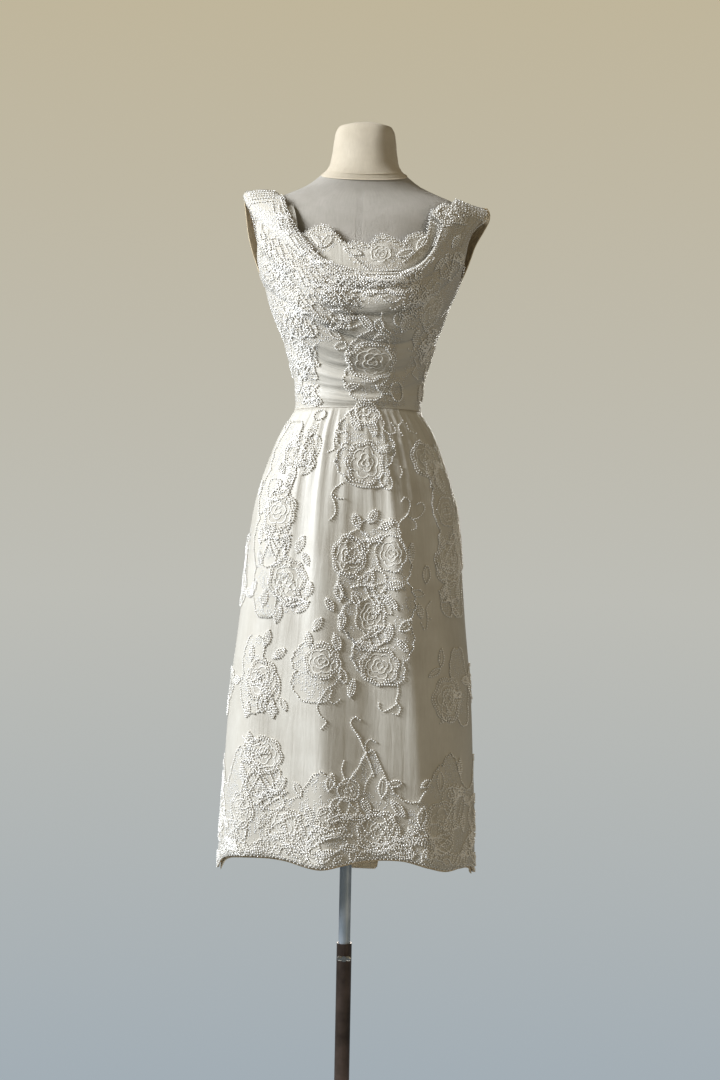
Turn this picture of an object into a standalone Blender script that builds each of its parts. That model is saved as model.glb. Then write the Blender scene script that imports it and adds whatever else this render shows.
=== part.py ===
"""A sleeveless evening dress of silk and beaded lace, worn by a limbless dress form on a pole stand.

Metres, +Z up.  X runs across the dress, from its wearer's right (-X) to left (+X), and the front
faces -Y.  The origin is the centre of the base's underside, on the pole's axis.

Every cloth panel is a thin wall between two grids of points.  A point is given by its azimuth round
the figure (0 at the centre front, 90 at the +X side seam, 180 at the centre back) and its height, and
the short tables below say how wide and how deep the figure is at each height.
"""

import math

import bmesh
import bpy
import numpy as np

# ---------------------------------------------------------------- driving dimensions
WAIST_Z = 1.312
UNDERARM_Z = 1.515
SHOULDER_Z = 1.685
NECK_TOP_Z = 1.801
FORM_BOTTOM_Z = 1.000
TUBE_TOP_Z = 0.410

SEAM_GAP = 0.0003
SKIRT_WALL = 0.0015
BODICE_WALL = 0.0016
YOKE_WALL = 0.0012
YOKE_GAP = 0.0038
YOKE_TUCK = 0.014
LINING_WALL = 0.0010
LINING_GAP = 0.0035
LACE_THICKNESS = 0.0016
LACE_GAP = 0.00035

ROD_RADIUS = 0.0100
ROD_BOTTOM_Z = 0.290
TUBE_INNER_RADIUS = 0.0108
TUBE_OUTER_RADIUS = 0.0128
BASE_RADIUS = 0.190
BASE_THICKNESS = 0.012
COLLAR_RADIUS = 0.026
COLLAR_HEIGHT = 0.010
SPIGOT_TOP_Z = 0.055
FLANGE_RADIUS = 0.050
FLANGE_THICKNESS = 0.005
SOCKET_RADIUS = 0.017
SOCKET_LENGTH = 0.022
SCREW_Z = 0.388
SCREW_RADIUS = 0.0028
SCREW_HEAD_Y = -0.0205
HUB_RADIUS = 0.0048
HUB_LENGTH = 0.0070
WING_SIZE = (0.0052, 0.0016, 0.0046)
WING_REACH = 0.0068

# The form leans a little on its pole: its axis moves sideways by this much for each metre of height.
LEAN = 0.0080
LEAN_FROM_Z = 0.60

# Each section: height, half the width, depth in front of the pole's axis, depth behind it.
DRESS_SECTIONS = [
    # z,    half_width, front, back
    (0.525, 0.2160, 0.1500, 0.1580),
    (0.700, 0.2095, 0.1460, 0.1530),
    (0.850, 0.2020, 0.1420, 0.1490),
    (0.960, 0.1910, 0.1370, 0.1460),
    (1.030, 0.1850, 0.1330, 0.1430),
    (1.100, 0.1785, 0.1270, 0.1390),
    (1.160, 0.1690, 0.1200, 0.1300),
    (1.230, 0.1480, 0.1100, 0.1130),
    (1.280, 0.1270, 0.1010, 0.0960),
    (1.312, 0.1080, 0.0940, 0.0875),
    (1.350, 0.1070, 0.0945, 0.0875),
    (1.400, 0.1190, 0.1040, 0.0920),
    (1.440, 0.1330, 0.1180, 0.0970),
    (1.485, 0.1490, 0.1330, 0.1020),
    (1.530, 0.1670, 0.1320, 0.1060),
    (1.570, 0.1860, 0.1190, 0.1050),
    (1.610, 0.1980, 0.0990, 0.0960),
    (1.650, 0.2040, 0.0720, 0.0760),
    (1.668, 0.2060, 0.0480, 0.0540),
    (1.679, 0.2040, 0.0250, 0.0290),
    (1.683, 0.2010, 0.0100, 0.0110),
    (1.685, 0.1990, 0.0012, 0.0014),
]
FORM_SECTIONS = [
    # z,    half_width, front, back
    (1.000, 0.1420, 0.0950, 0.1020),
    (1.010, 0.1530, 0.1030, 0.1110),
    (1.035, 0.1610, 0.1100, 0.1200),
    (1.100, 0.1650, 0.1130, 0.1250),
    (1.160, 0.1570, 0.1080, 0.1180),
    (1.230, 0.1370, 0.0985, 0.1010),
    (1.280, 0.1150, 0.0900, 0.0840),
    (1.330, 0.0985, 0.0840, 0.0775),
    (1.400, 0.1090, 0.0930, 0.0825),
    (1.440, 0.1220, 0.1050, 0.0870),
    (1.485, 0.1350, 0.1170, 0.0920),
    (1.530, 0.1450, 0.1130, 0.0960),
    (1.570, 0.1540, 0.1000, 0.0950),
    (1.610, 0.1660, 0.0830, 0.0850),
    (1.640, 0.1720, 0.0700, 0.0740),
    (1.656, 0.1690, 0.0580, 0.0600),
    (1.669, 0.1550, 0.0480, 0.0500),
    (1.679, 0.1310, 0.0440, 0.0460),
    (1.692, 0.1010, 0.0460, 0.0490),
    (1.708, 0.0780, 0.0500, 0.0530),
    (1.722, 0.0630, 0.0490, 0.0520),
    (1.745, 0.0560, 0.0470, 0.0500),
    (1.775, 0.0520, 0.0450, 0.0480),
    (1.788, 0.0490, 0.0420, 0.0450),
    (1.796, 0.0410, 0.0350, 0.0380),
    (1.800, 0.0260, 0.0220, 0.0240),
]
ROUNDNESS = 2.2  # exponent of the sections: 2 is an ellipse, more is squarer
FORM_SEGMENTS = 24

# Each cup's middle, its spread across and up, and how far it stands out of the form.
CUP_X, CUP_Z = 0.075, 1.480
CUP_SPREAD_X, CUP_SPREAD_Z = 0.050, 0.055
CUP_HEIGHT = 0.012
CUP_SHARE_IN_CLOTH = 0.8

# The strap on the +X side has slipped off the shoulder by this much.
SLIPPED_STRAP_DROP = 0.022
SLIPPED_STRAP_SPREAD = 0.014

# The front's armhole edge leaves the side seam by this azimuth, and comes back near the strap's tip.
ARMHOLE_HEIGHT = 0.060
FRONT_ARMHOLE = 26.0
FRONT_ARMHOLE_TIP = 12.0
BACK_ARMHOLE = 10.0
# The back's straps: their share of its top edge, and the azimuths of their outer and inner ends.
BACK_STRAP_SHARE = 0.16
BACK_STRAP_AZIMUTHS = (100.0, 132.0)

# The top edge of the draped front, from strap tip to strap tip, in the front view.
TOP_EDGE = [
    # x,     z
    (-0.194, 1.685),
    (-0.160, 1.685),
    (-0.136, 1.674),
    (-0.119, 1.636),
    (-0.100, 1.598),
    (-0.077, 1.570),
    (-0.044, 1.543),
    (-0.010, 1.531),
    (0.046, 1.529),
    (0.080, 1.534),
    (0.104, 1.549),
    (0.125, 1.577),
    (0.138, 1.615),
    (0.150, 1.655),
    (0.166, 1.685),
    (0.197, 1.685),
]
STRAP_SHARE = 0.115  # of the top edge's length, at each end
STRAP_COLUMNS = 6

# The drape's folds, from the cowl down to the waist.  Each runs from the panel's -X edge through three
# places in the front view to its +X edge, and stands out by the three heights, left to right.
DRAPE_FOLDS = [
    # left_z, x1,     z1,    x2,     z2,    x3,    z3,    right_z, height_left, middle, right
    (1.650, -0.108, 1.572, -0.018, 1.505, 0.098, 1.517, 1.610, 0.0065, 0.0080, 0.0030),
    (1.590, -0.119, 1.528, -0.032, 1.466, 0.088, 1.472, 1.555, 0.0060, 0.0060, 0.0020),
    (1.530, -0.117, 1.487, -0.030, 1.434, 0.076, 1.420, 1.500, 0.0050, 0.0075, 0.0015),
    (1.440, -0.093, 1.405, -0.014, 1.370, 0.074, 1.374, 1.430, 0.0025, 0.0035, 0.0020),
    (1.372, -0.078, 1.352, -0.014, 1.336, 0.070, 1.341, 1.368, 0.0020, 0.0030, 0.0020),
]
FOLD_STATIONS = (0.0, 0.29, 0.50, 0.72, 1.0)
COWL_ROLL = (0.0040, 0.0060, 0.0040)
# Rows of points from one crease down to the next, each with how full the roll is there: it swells
# slowly and then turns under, so that it hangs over the fold below.
COWL_ROWS = ((0.0, 0.50), (0.45, 1.0), (0.88, 0.75))
ROLL_ROWS = ((0.0, 0.0), (0.35, 0.70), (0.70, 1.0), (0.92, 0.70))
STRAP_PLEAT_HEIGHT = 0.0026
BACK_NECK_DROP = 0.090

# The skirt's gathers at the waist, and the broad waves of its hem, on each half.
GATHERS = 12
GATHER_HEIGHT = 0.0020
HEM_WAVES = 3.5
HEM_WAVE_HEIGHT = 0.0065
HEM_Z = 0.562
# How the hem's edge runs: it dips at the side seams and swings up and down between its waves.
HEM_EDGE = [
    # azimuth, z
    (-95.0, 0.538),
    (-88.0, 0.536),
    (-72.0, 0.560),
    (-45.0, 0.577),
    (-9.0, 0.566),
    (15.0, 0.574),
    (52.0, 0.562),
    (76.0, 0.556),
    (88.0, 0.536),
    (92.0, 0.536),
    (115.0, 0.560),
    (180.0, 0.566),
    (245.0, 0.560),
    (268.0, 0.536),
    (275.0, 0.538),
]
# The back lining hangs lower than the hem over this stretch.
LINING_FLAP = (167.0, 178.0, 0.506)
LINING_DROP = 0.004
SIDE_INSET = 0.05  # degrees from each side seam to the skirt panels' edges

# The top edge of the lace inside the cowl, in the front view: three lobes, a rose and two more.
YOKE_EDGE = [
    # x,     z
    (-0.134, 1.672),
    (-0.120, 1.655),
    (-0.104, 1.634),
    (-0.100, 1.606),
    (-0.090, 1.600),
    (-0.076, 1.608),
    (-0.046, 1.610),
    (-0.030, 1.590),
    (-0.018, 1.580),
    (-0.004, 1.584),
    (0.008, 1.582),
    (0.022, 1.580),
    (0.032, 1.594),
    (0.050, 1.596),
    (0.066, 1.588),
    (0.074, 1.584),
    (0.086, 1.598),
    (0.106, 1.605),
    (0.118, 1.612),
    (0.121, 1.634),
    (0.134, 1.652),
    (0.154, 1.668),
]
SKIRT_GRID = (48, 12)
BODICE_COLUMNS = 34
BACK_GRID = (24, 14)
YOKE_GRID = (36, 3)

# Sprays of beaded lace sewn on the panels.  Azimuths are in degrees, and each spray runs from its
# top to its foot with lobed edges.
FRONT_SPRAYS = [
    # name,                 top_az, top_z, foot_az, foot_z, half_width, lobes
    ("lace_front_waist", 4.0, 1.310, 6.0, 1.172, 0.034, 2),
    ("lace_front_centre", 11.0, 1.130, 14.0, 0.845, 0.043, 4),
    ("lace_front_hip_right", -54.0, 1.290, -47.0, 0.965, 0.042, 4),
    ("lace_front_low_right", -52.0, 0.935, -48.0, 0.790, 0.034, 2),
    ("lace_front_low_middle", -21.0, 0.925, -20.0, 0.800, 0.028, 2),
    ("lace_front_hip_left", 58.0, 1.255, 66.0, 0.970, 0.044, 4),
    ("lace_front_low_left", 61.0, 0.920, 66.0, 0.790, 0.034, 2),
]
BACK_SPRAYS = [
    ("lace_back_waist", 176.0, 1.300, 178.0, 1.150, 0.036, 2),
    ("lace_back_centre", 186.0, 1.090, 184.0, 0.845, 0.058, 3),
    ("lace_back_hip_right", 232.0, 1.250, 226.0, 0.960, 0.046, 4),
    ("lace_back_hip_left", 126.0, 1.250, 132.0, 0.960, 0.046, 4),
]
BODICE_SPRAYS = [
    ("lace_bodice_middle", 9.0, 1.436, 6.0, 1.324, 0.031, 2),
]
POINTS_IN_LOBE = 3
LOBE_NECK = 0.60  # width of a spray between its lobes, as a share of its width at them
SPRAY_END = 0.30  # width of a spray at its two ends
HEM_LACE_LOW = 0.115
HEM_LACE_PEAK = 0.090
HEM_LACE_PEAKS = 5
HEM_LACE_PHASE = 0.4
HEM_LACE_POINTS = 30

COLOURS = {
    # name:     colour,                   roughness, metallic
    "silk": ((0.82, 0.78, 0.70, 1.0), 0.55, 0.0),
    "lace": ((0.90, 0.88, 0.84, 1.0), 0.70, 0.0),
    "lining": ((0.80, 0.72, 0.58, 1.0), 0.60, 0.0),
    "linen": ((0.78, 0.74, 0.68, 1.0), 0.85, 0.0),
    "steel": ((0.55, 0.60, 0.66, 1.0), 0.35, 1.0),
    "bronze": ((0.10, 0.08, 0.07, 1.0), 0.30, 0.9),
}


# ---------------------------------------------------------------- small mathematics
def smooth(table, at):
    """Each further column of a table, read at heights `at` on a smooth curve through its rows."""
    rows = np.array(table, float)
    knots = rows[:, 0]
    slopes = np.gradient(rows[:, 1:], knots, axis=0)
    at = np.clip(np.asarray(at, float), knots[0], knots[-1])
    index = np.clip(np.searchsorted(knots, at) - 1, 0, len(knots) - 2)
    span = knots[index + 1] - knots[index]
    t = ((at - knots[index]) / span)[..., None]
    span = span[..., None]
    start, end = rows[index, 1:], rows[index + 1, 1:]
    return (
        start * (2 * t**3 - 3 * t**2 + 1)
        + slopes[index] * span * (t**3 - 2 * t**2 + t)
        + end * (3 * t**2 - 2 * t**3)
        + slopes[index + 1] * span * (t**3 - t**2)
    )


def ease(value, start, end):
    """0 before start, 1 after end, and a smooth step between them."""
    t = np.clip((np.asarray(value, float) - start) / (end - start), 0.0, 1.0)
    return t * t * (3.0 - 2.0 * t)


def figure(sections, azimuth, height):
    """Points on the smooth figure that a table of sections describes, at azimuths in degrees."""
    azimuth, height = np.broadcast_arrays(np.radians(azimuth), height)
    half_width, front, back = np.moveaxis(smooth(sections, height), -1, 0)
    sine, cosine = np.sin(azimuth), np.cos(azimuth)
    depth = np.where(cosine > 0, front, back)
    power = 2.0 / ROUNDNESS
    x = half_width * np.sign(sine) * np.abs(sine) ** power
    y = -depth * np.sign(cosine) * np.abs(cosine) ** power
    x = x + LEAN * (height - LEAN_FROM_Z)
    return np.stack([x, y, height], axis=-1)


def bust(points):
    """How far the two cups stand out of the figure's front at these points."""
    across = (np.abs(points[..., 0]) - CUP_X) / CUP_SPREAD_X
    up = (points[..., 2] - CUP_Z) / CUP_SPREAD_Z
    facing_front = ease(-points[..., 1], 0.02, 0.07)
    return CUP_HEIGHT * np.exp(-(across**2) - up**2) * facing_front


def outward(surface, azimuth, height):
    """Unit normals of a surface given as a function of azimuth and height, pointing outwards."""
    turn, rise = 0.5, 0.002
    along = surface(azimuth + turn, height) - surface(azimuth - turn, height)
    up = surface(azimuth, height + rise) - surface(azimuth, height - rise)
    normal = np.cross(along, up)
    return normal / np.linalg.norm(normal, axis=-1, keepdims=True)


def azimuth_at(x, height):
    """The azimuth, on the dress's front, of the point whose sideways place is x at this height."""
    half_width = smooth(DRESS_SECTIONS, height)[..., 0]
    share = (np.asarray(x, float) - LEAN * (height - LEAN_FROM_Z)) / half_width
    share = np.clip(share, -1.0, 1.0)
    return np.degrees(np.arcsin(np.sign(share) * np.abs(share) ** (ROUNDNESS / 2.0)))


# ---------------------------------------------------------------- the cloth's surface
def slip_strap(points):
    """The strap on the +X side, slid down and outwards off the shoulder."""
    amount = ease(points[..., 0], 0.135, 0.200) * ease(points[..., 2], 1.590, 1.680)
    moved = points.copy()
    moved[..., 2] -= SLIPPED_STRAP_DROP * amount
    moved[..., 0] += SLIPPED_STRAP_SPREAD * amount
    return moved


def dress_surface(azimuth, height):
    """The dress's outer surface before its folds."""
    points = figure(DRESS_SECTIONS, azimuth, height)
    points[..., 1] -= CUP_SHARE_IN_CLOTH * bust(points)
    return points


def gathers(azimuth, height):
    """How far the skirt's gathers stand out: pinched at the waist, fullest below it, then gone."""
    gather = 0.5 + 0.5 * np.cos(2 * GATHERS * np.radians(azimuth))
    share = ease(height, 0.80, 1.20) * (1.0 - 0.6 * ease(height, 1.27, WAIST_Z))
    return GATHER_HEIGHT * gather * share * at_side_seams(azimuth)


def hem_waves(azimuth, height):
    """How far the broad waves of the hem stand out; they die away at the hips."""
    wave = 0.5 + 0.5 * np.cos(hem_phase(azimuth))
    return HEM_WAVE_HEIGHT * wave * (1.0 - ease(height, 0.56, 1.10)) * at_side_seams(azimuth)


def hem_phase(azimuth):
    """The hem's waves along the azimuth, a little uneven."""
    turn = np.radians(azimuth)
    return 2 * HEM_WAVES * turn + 0.9 * np.sin(turn) + 0.6


def at_side_seams(azimuth):
    """0 at the side seams, where folds die out, and 1 away from them."""
    return ease(np.abs(np.cos(np.radians(azimuth))), 0.0, 0.10)


def cloth(grid, moved_out=0.0, fold_share=1.0):
    """Places of a grid of (azimuth, height, fold height), all moved out along the smooth normal.

    No point passes the plane of the side and shoulder seams, where front and back meet.
    """
    azimuth, height, fold = np.moveaxis(np.asarray(grid, float), -1, 0)
    base = dress_surface(azimuth, height)
    normal = outward(dress_surface, azimuth, height)
    points = slip_strap(base + normal * (fold * fold_share + moved_out)[..., None])
    side = np.where(np.cos(np.radians(azimuth)) > 0, -1.0, 1.0)
    points[..., 1] = side * np.maximum(side * points[..., 1], SEAM_GAP / 2)
    return points


# ---------------------------------------------------------------- meshes
def material(name):
    """The Principled material of that name, made once."""
    if name in bpy.data.materials:
        return bpy.data.materials[name]
    colour, roughness, metallic = COLOURS[name]
    made = bpy.data.materials.new(name)
    made.use_nodes = True
    shader = made.node_tree.nodes["Principled BSDF"]
    shader.inputs["Base Color"].default_value = colour
    shader.inputs["Roughness"].default_value = roughness
    shader.inputs["Metallic"].default_value = metallic
    return made


def solid(name, points, faces, finish, smooth_shading=True):
    """An object of this name from points and faces, its normals turned outwards."""
    mesh = bpy.data.meshes.new(name)
    mesh.from_pydata([tuple(p) for p in np.asarray(points, float)], [], faces)
    shape = bmesh.new()
    shape.from_mesh(mesh)
    bmesh.ops.recalc_face_normals(shape, faces=shape.faces)
    shape.to_mesh(mesh)
    shape.free()
    mesh.materials.append(material(finish))
    if smooth_shading:
        mesh.shade_smooth()
        mesh.set_sharp_from_angle(angle=math.radians(40))
    made = bpy.data.objects.new(name, mesh)
    bpy.context.scene.collection.objects.link(made)
    return made


def helper(made):
    """A shape that only cuts or shapes another."""
    made.hide_render = True
    made.display_type = "WIRE"
    return made


def grid_faces(rows, columns, first, flip):
    """Triangles of a grid of (rows + 1) x (columns + 1) points that starts at index `first`."""
    faces = []
    for row in range(rows):
        for column in range(columns):
            a = first + row * (columns + 1) + column
            b, c, d = a + 1, a + columns + 2, a + columns + 1
            pair = [(a, b, c), (a, c, d)]
            faces += [face[::-1] for face in pair] if flip else pair
    return faces


def zipper(edge_a, edge_b):
    """Triangles between two edges whose numbers of points differ."""
    faces, i, j = [], 0, 0
    last_a, last_b = len(edge_a) - 1, len(edge_b) - 1
    while i < last_a or j < last_b:
        if j == last_b or (i < last_a and (i + 1) * last_b <= (j + 1) * last_a):
            faces.append((edge_a[i], edge_a[i + 1], edge_b[j]))
            i += 1
        else:
            faces.append((edge_a[i], edge_b[j + 1], edge_b[j]))
            j += 1
    return faces


def border(rows, columns, first):
    """The grid's four edges as lists of indices: bottom, right, top and left, going round once."""
    def at(row, column):
        return first + row * (columns + 1) + column

    return [
        [at(0, c) for c in range(columns + 1)],
        [at(r, columns) for r in range(rows + 1)],
        [at(rows, c) for c in range(columns, -1, -1)],
        [at(r, 0) for r in range(rows, -1, -1)],
    ]


def wall(name, outer, inner, finish):
    """A closed wall between an outer and an inner grid, which may be coarser, joined round its rim."""
    rows_out, columns_out = outer.shape[0] - 1, outer.shape[1] - 1
    rows_in, columns_in = inner.shape[0] - 1, inner.shape[1] - 1
    start = outer.shape[0] * outer.shape[1]
    points = np.concatenate([outer.reshape(-1, 3), inner.reshape(-1, 3)])
    faces = grid_faces(rows_out, columns_out, 0, False)
    faces += grid_faces(rows_in, columns_in, start, True)
    outer_border = border(rows_out, columns_out, 0)
    inner_border = border(rows_in, columns_in, start)
    for outer_edge, inner_edge in zip(outer_border, inner_border):
        faces += zipper(outer_edge, inner_edge)
    return solid(name, points, faces, finish)


def turned(name, profile, finish, segments=24):
    """A solid turned about the Z axis from a closed profile of (radius, height) points."""
    points, faces = [], []
    on_axis = [i for i, (radius, _) in enumerate(profile) if radius == 0.0]
    rings = []
    for index, (radius, height) in enumerate(profile):
        if index in on_axis:
            rings.append([len(points)] * segments)
            points.append((0.0, 0.0, height))
            continue
        rings.append(list(range(len(points), len(points) + segments)))
        for step in range(segments):
            angle = 2 * math.pi * step / segments
            points.append((radius * math.cos(angle), radius * math.sin(angle), height))
    pairs = [(i, i + 1) for i in range(len(profile) - 1)]
    if not on_axis:
        pairs.append((len(profile) - 1, 0))
    for low, high in pairs:
        for step in range(segments):
            after = (step + 1) % segments
            corners = [rings[low][step], rings[low][after], rings[high][after], rings[high][step]]
            corners = list(dict.fromkeys(corners))
            if len(corners) > 2:
                faces.append(corners)
    return solid(name, points, faces, finish)


# ---------------------------------------------------------------- the panels' outlines
def side_edge(side, height):
    """Azimuth of the front panel's edge at a height: the side seam, then the armhole."""
    into_armhole = FRONT_ARMHOLE * ease(height, UNDERARM_Z, UNDERARM_Z + ARMHOLE_HEIGHT)
    out_to_tip = FRONT_ARMHOLE_TIP * ease(height, 1.615, SHOULDER_Z)
    return side * (90.0 - into_armhole + out_to_tip)


def top_edge(across):
    """Azimuth and height along the front's top edge; `across` runs from 0 to 1 over its columns."""
    corners = np.array(TOP_EDGE)
    length = np.concatenate([[0.0], np.cumsum(np.linalg.norm(np.diff(corners, axis=0), axis=1))])
    strap = STRAP_COLUMNS / BODICE_COLUMNS
    share = np.interp(across, [0, strap, 1 - strap, 1], [0, STRAP_SHARE, 1 - STRAP_SHARE, 1])
    x, z = (np.interp(share * length[-1], length, corners[:, axis]) for axis in (0, 1))
    return np.stack([azimuth_at(x, z), z], axis=-1)


def fold_edge(row, across):
    """Azimuth and height along one fold's edge."""
    left_z, x1, z1, x2, z2, x3, z3, right_z = row[:8]
    inner_x, inner_z = np.array([x1, x2, x3]), np.array([z1, z2, z3])
    azimuths = [side_edge(-1, left_z), *azimuth_at(inner_x, inner_z), side_edge(1, right_z)]
    stations = np.column_stack([FOLD_STATIONS, azimuths, [left_z, *inner_z, right_z]])
    return smooth(stations, across)


def front_grid():
    """Azimuth, height and fold height of the draped front's points, from the waist up."""
    across = np.linspace(0, 1, BODICE_COLUMNS + 1)
    waist = np.stack([-90 + 180 * across, np.full(len(across), WAIST_Z + SEAM_GAP)], axis=-1)
    edges = [top_edge(across)] + [fold_edge(row, across) for row in DRAPE_FOLDS] + [waist]
    heights = [COWL_ROLL] + [row[8:] for row in DRAPE_FOLDS]
    side = ease(across, 0.0, 0.05) * ease(1 - across, 0.0, 0.05)
    rows = []
    for upper, lower, height in zip(edges, edges[1:], heights):
        crest = side * smooth(np.column_stack([(0.0, 0.45, 1.0), height]), across)[:, 0]
        for down, full in ROLL_ROWS if rows else COWL_ROWS:
            rows.append(np.column_stack([upper + (lower - upper) * down, crest * full]))
    rows.append(np.column_stack([waist, np.zeros(len(across))]))
    grid = np.array(rows[::-1])
    on_strap = ease(grid[..., 1], 1.545, 1.620) * ease(np.abs(across - 0.5), 0.29, 0.33)
    pleat = STRAP_PLEAT_HEIGHT * (np.arange(len(across)) % 2)
    pleat[[0, -1]] = 0.0
    grid[..., 2] = np.maximum(grid[..., 2] * (1 - 0.7 * on_strap), pleat * on_strap)
    return grid


def coons(bottom, top, left, right):
    """The patch inside four edges of (azimuth, height): rows go up, columns across."""
    rows, columns = len(left), len(bottom)
    u = np.linspace(0, 1, columns)[None, :, None]
    v = np.linspace(0, 1, rows)[:, None, None]
    corners = (
        (1 - u) * (1 - v) * bottom[0] + u * (1 - v) * bottom[-1] + (1 - u) * v * top[0] + u * v * top[-1]
    )
    return (1 - v) * bottom[None] + v * top[None] + (1 - u) * left[:, None] + u * right[:, None] - corners


def back_top_edge(across):
    """Azimuth and height along the back's top edge: a strap, the scooped neckline and a strap."""
    outer, inner = BACK_STRAP_AZIMUTHS
    inside = np.clip((across - BACK_STRAP_SHARE) / (1 - 2 * BACK_STRAP_SHARE), 0, 1)
    on_strap = np.clip(np.minimum(across, 1 - across) / BACK_STRAP_SHARE, 0, 1)
    from_side = outer + (inner - outer) * on_strap + (180 - inner) * 2 * np.minimum(inside, 1 - inside)
    azimuth = np.where(across < 0.5, from_side, 360 - from_side)
    height = SHOULDER_Z - BACK_NECK_DROP * np.sin(math.pi * inside) ** 0.8
    return np.stack([azimuth, height], axis=-1)


def back_grid(columns, rows):
    """Azimuth, height and fold height of the plain back's points, from the waist up."""
    across = np.linspace(0, 1, columns + 1)
    top = back_top_edge(across)
    bottom = np.stack([90 + 180 * across, np.full(columns + 1, WAIST_Z + SEAM_GAP)], axis=-1)
    side_z = np.linspace(WAIST_Z, SHOULDER_Z, rows + 1)
    armhole = BACK_ARMHOLE * ease(side_z, UNDERARM_Z, UNDERARM_Z + ARMHOLE_HEIGHT)
    left = np.stack([90 + armhole, side_z], axis=-1)
    right = np.stack([270 - armhole, side_z], axis=-1)
    left[-1], right[-1] = top[0], top[-1]
    patch = coons(bottom, top, left, right)
    return np.dstack([patch, np.zeros(patch.shape[:2])])


def hem_height(azimuth):
    """Height of the hem's edge at an azimuth."""
    return smooth(HEM_EDGE, azimuth)[..., 0]


def skirt_grid(first_az, columns, rows, top_z, hem=hem_height):
    """Azimuth, height and fold height of half the skirt's points, from the hem up."""
    azimuth = np.linspace(first_az + SIDE_INSET, first_az + 180 - SIDE_INSET, columns + 1)
    low = hem(azimuth)
    up = np.linspace(0, 1, rows + 1)[:, None] ** 0.80
    height = low + (top_z - low) * up
    azimuth = np.broadcast_to(azimuth, height.shape)
    return np.dstack([azimuth, height, gathers(azimuth, height) + hem_waves(azimuth, height)])


def inset_edges(grid, share):
    """The grid with its outer columns moved in by this share of a column, for the seams' gaps."""
    grid = grid.copy()
    grid[:, 0] += share * (grid[:, 1] - grid[:, 0])
    grid[:, -1] += share * (grid[:, -2] - grid[:, -1])
    return grid


# ---------------------------------------------------------------- the garment's pieces
def bodice_front():
    """The draped front: its folds stand out less on the inner face, where the cloth is doubled."""
    grid = inset_edges(front_grid(), 0.02)
    wall("bodice_front", cloth(grid), cloth(grid[:, ::2], -BODICE_WALL, 0.75), "silk")
    return grid


def bodice_back():
    grid = inset_edges(back_grid(*BACK_GRID), 0.02)
    wall("bodice_back", cloth(grid), cloth(grid[::2, ::2], -BODICE_WALL), "silk")
    return grid


def skirt_panel(name, first_az):
    """Half the skirt: gathers stand out of its outer face alone, and the broad waves of both."""
    grid = skirt_grid(first_az, *SKIRT_GRID, WAIST_Z - SEAM_GAP)
    coarse = grid[::2, ::2].copy()
    coarse[..., 2] = hem_waves(coarse[..., 0], coarse[..., 1])
    wall(name, cloth(grid), cloth(coarse, -SKIRT_WALL), "silk")
    return grid


def lining_height(azimuth):
    """Height of the lining's edge: just under the hem, and lower at the flap."""
    first, last, flap_z = LINING_FLAP
    on_flap = ease(azimuth, first - 3.0, first) * (1.0 - ease(azimuth, last, last + 3.0))
    edge = hem_height(azimuth) - LINING_DROP * at_side_seams(azimuth)
    return edge + (flap_z - edge) * on_flap


def hem_lining(name, first_az):
    """The lining's hem, which shows under the skirt's."""
    grid = skirt_grid(first_az, SKIRT_GRID[0], 1, HEM_Z + 0.050, lining_height)
    inside = -(SKIRT_WALL + LINING_GAP)
    wall(name, cloth(grid, inside), cloth(grid[:, ::2], inside - LINING_WALL), "lining")


def neck_yoke():
    """The scalloped lace inside the cowl, whose foot is tucked behind the cowl's rolled edge."""
    across = np.linspace(0, 1, YOKE_GRID[0] + 1)
    lobes = np.array(YOKE_EDGE)
    x = lobes[0, 0] + (lobes[-1, 0] - lobes[0, 0]) * across
    top_z = np.interp(x, lobes[:, 0], lobes[:, 1])
    cowl = np.array(TOP_EDGE)
    foot_z = np.interp(x, cowl[:, 0], cowl[:, 1]) - YOKE_TUCK
    up = np.linspace(0, 1, YOKE_GRID[1] + 1)[:, None]
    height = foot_z + np.maximum(top_z - foot_z, YOKE_TUCK) * up
    azimuth = azimuth_at(np.broadcast_to(x, height.shape), height)
    grid = np.dstack([azimuth, height, np.zeros(height.shape)])
    behind = -(BODICE_WALL + YOKE_GAP)
    wall("neck_yoke", cloth(grid, behind), cloth(grid, behind - YOKE_WALL), "lace")


def strip_cutter(name, left, right, below, above):
    """A block that stands through a panel, from rows of its left and right edges (azimuth, height)."""
    edges = np.stack([left, left, right, right], axis=1)
    reach = np.broadcast_to([-below, above, above, -below], edges.shape[:2])
    points = cloth(np.dstack([edges, reach])).reshape(-1, 3)
    last = 4 * (len(edges) - 1)
    faces = [(0, 1, 2, 3), (last + 3, last + 2, last + 1, last)]
    for low in range(0, last, 4):
        for corner in range(4):
            after = (corner + 1) % 4
            faces.append((low + corner, low + after, low + 4 + after, low + 4 + corner))
    return helper(solid(name, points, faces, "lace", smooth_shading=False))


def lace_on_panel(name, grid, left, right, below=0.006, above=0.016):
    """Lace of that outline, cut from a layer made of the panel's own points, moved out."""
    layer = wall(name, cloth(grid, LACE_GAP + LACE_THICKNESS), cloth(grid, LACE_GAP), "lace")
    cut = layer.modifiers.new("outline", "BOOLEAN")
    cut.operation = "INTERSECT"
    cut.solver = "EXACT"
    cut.object = strip_cutter(name + "_outline", left, right, below, above)


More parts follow.
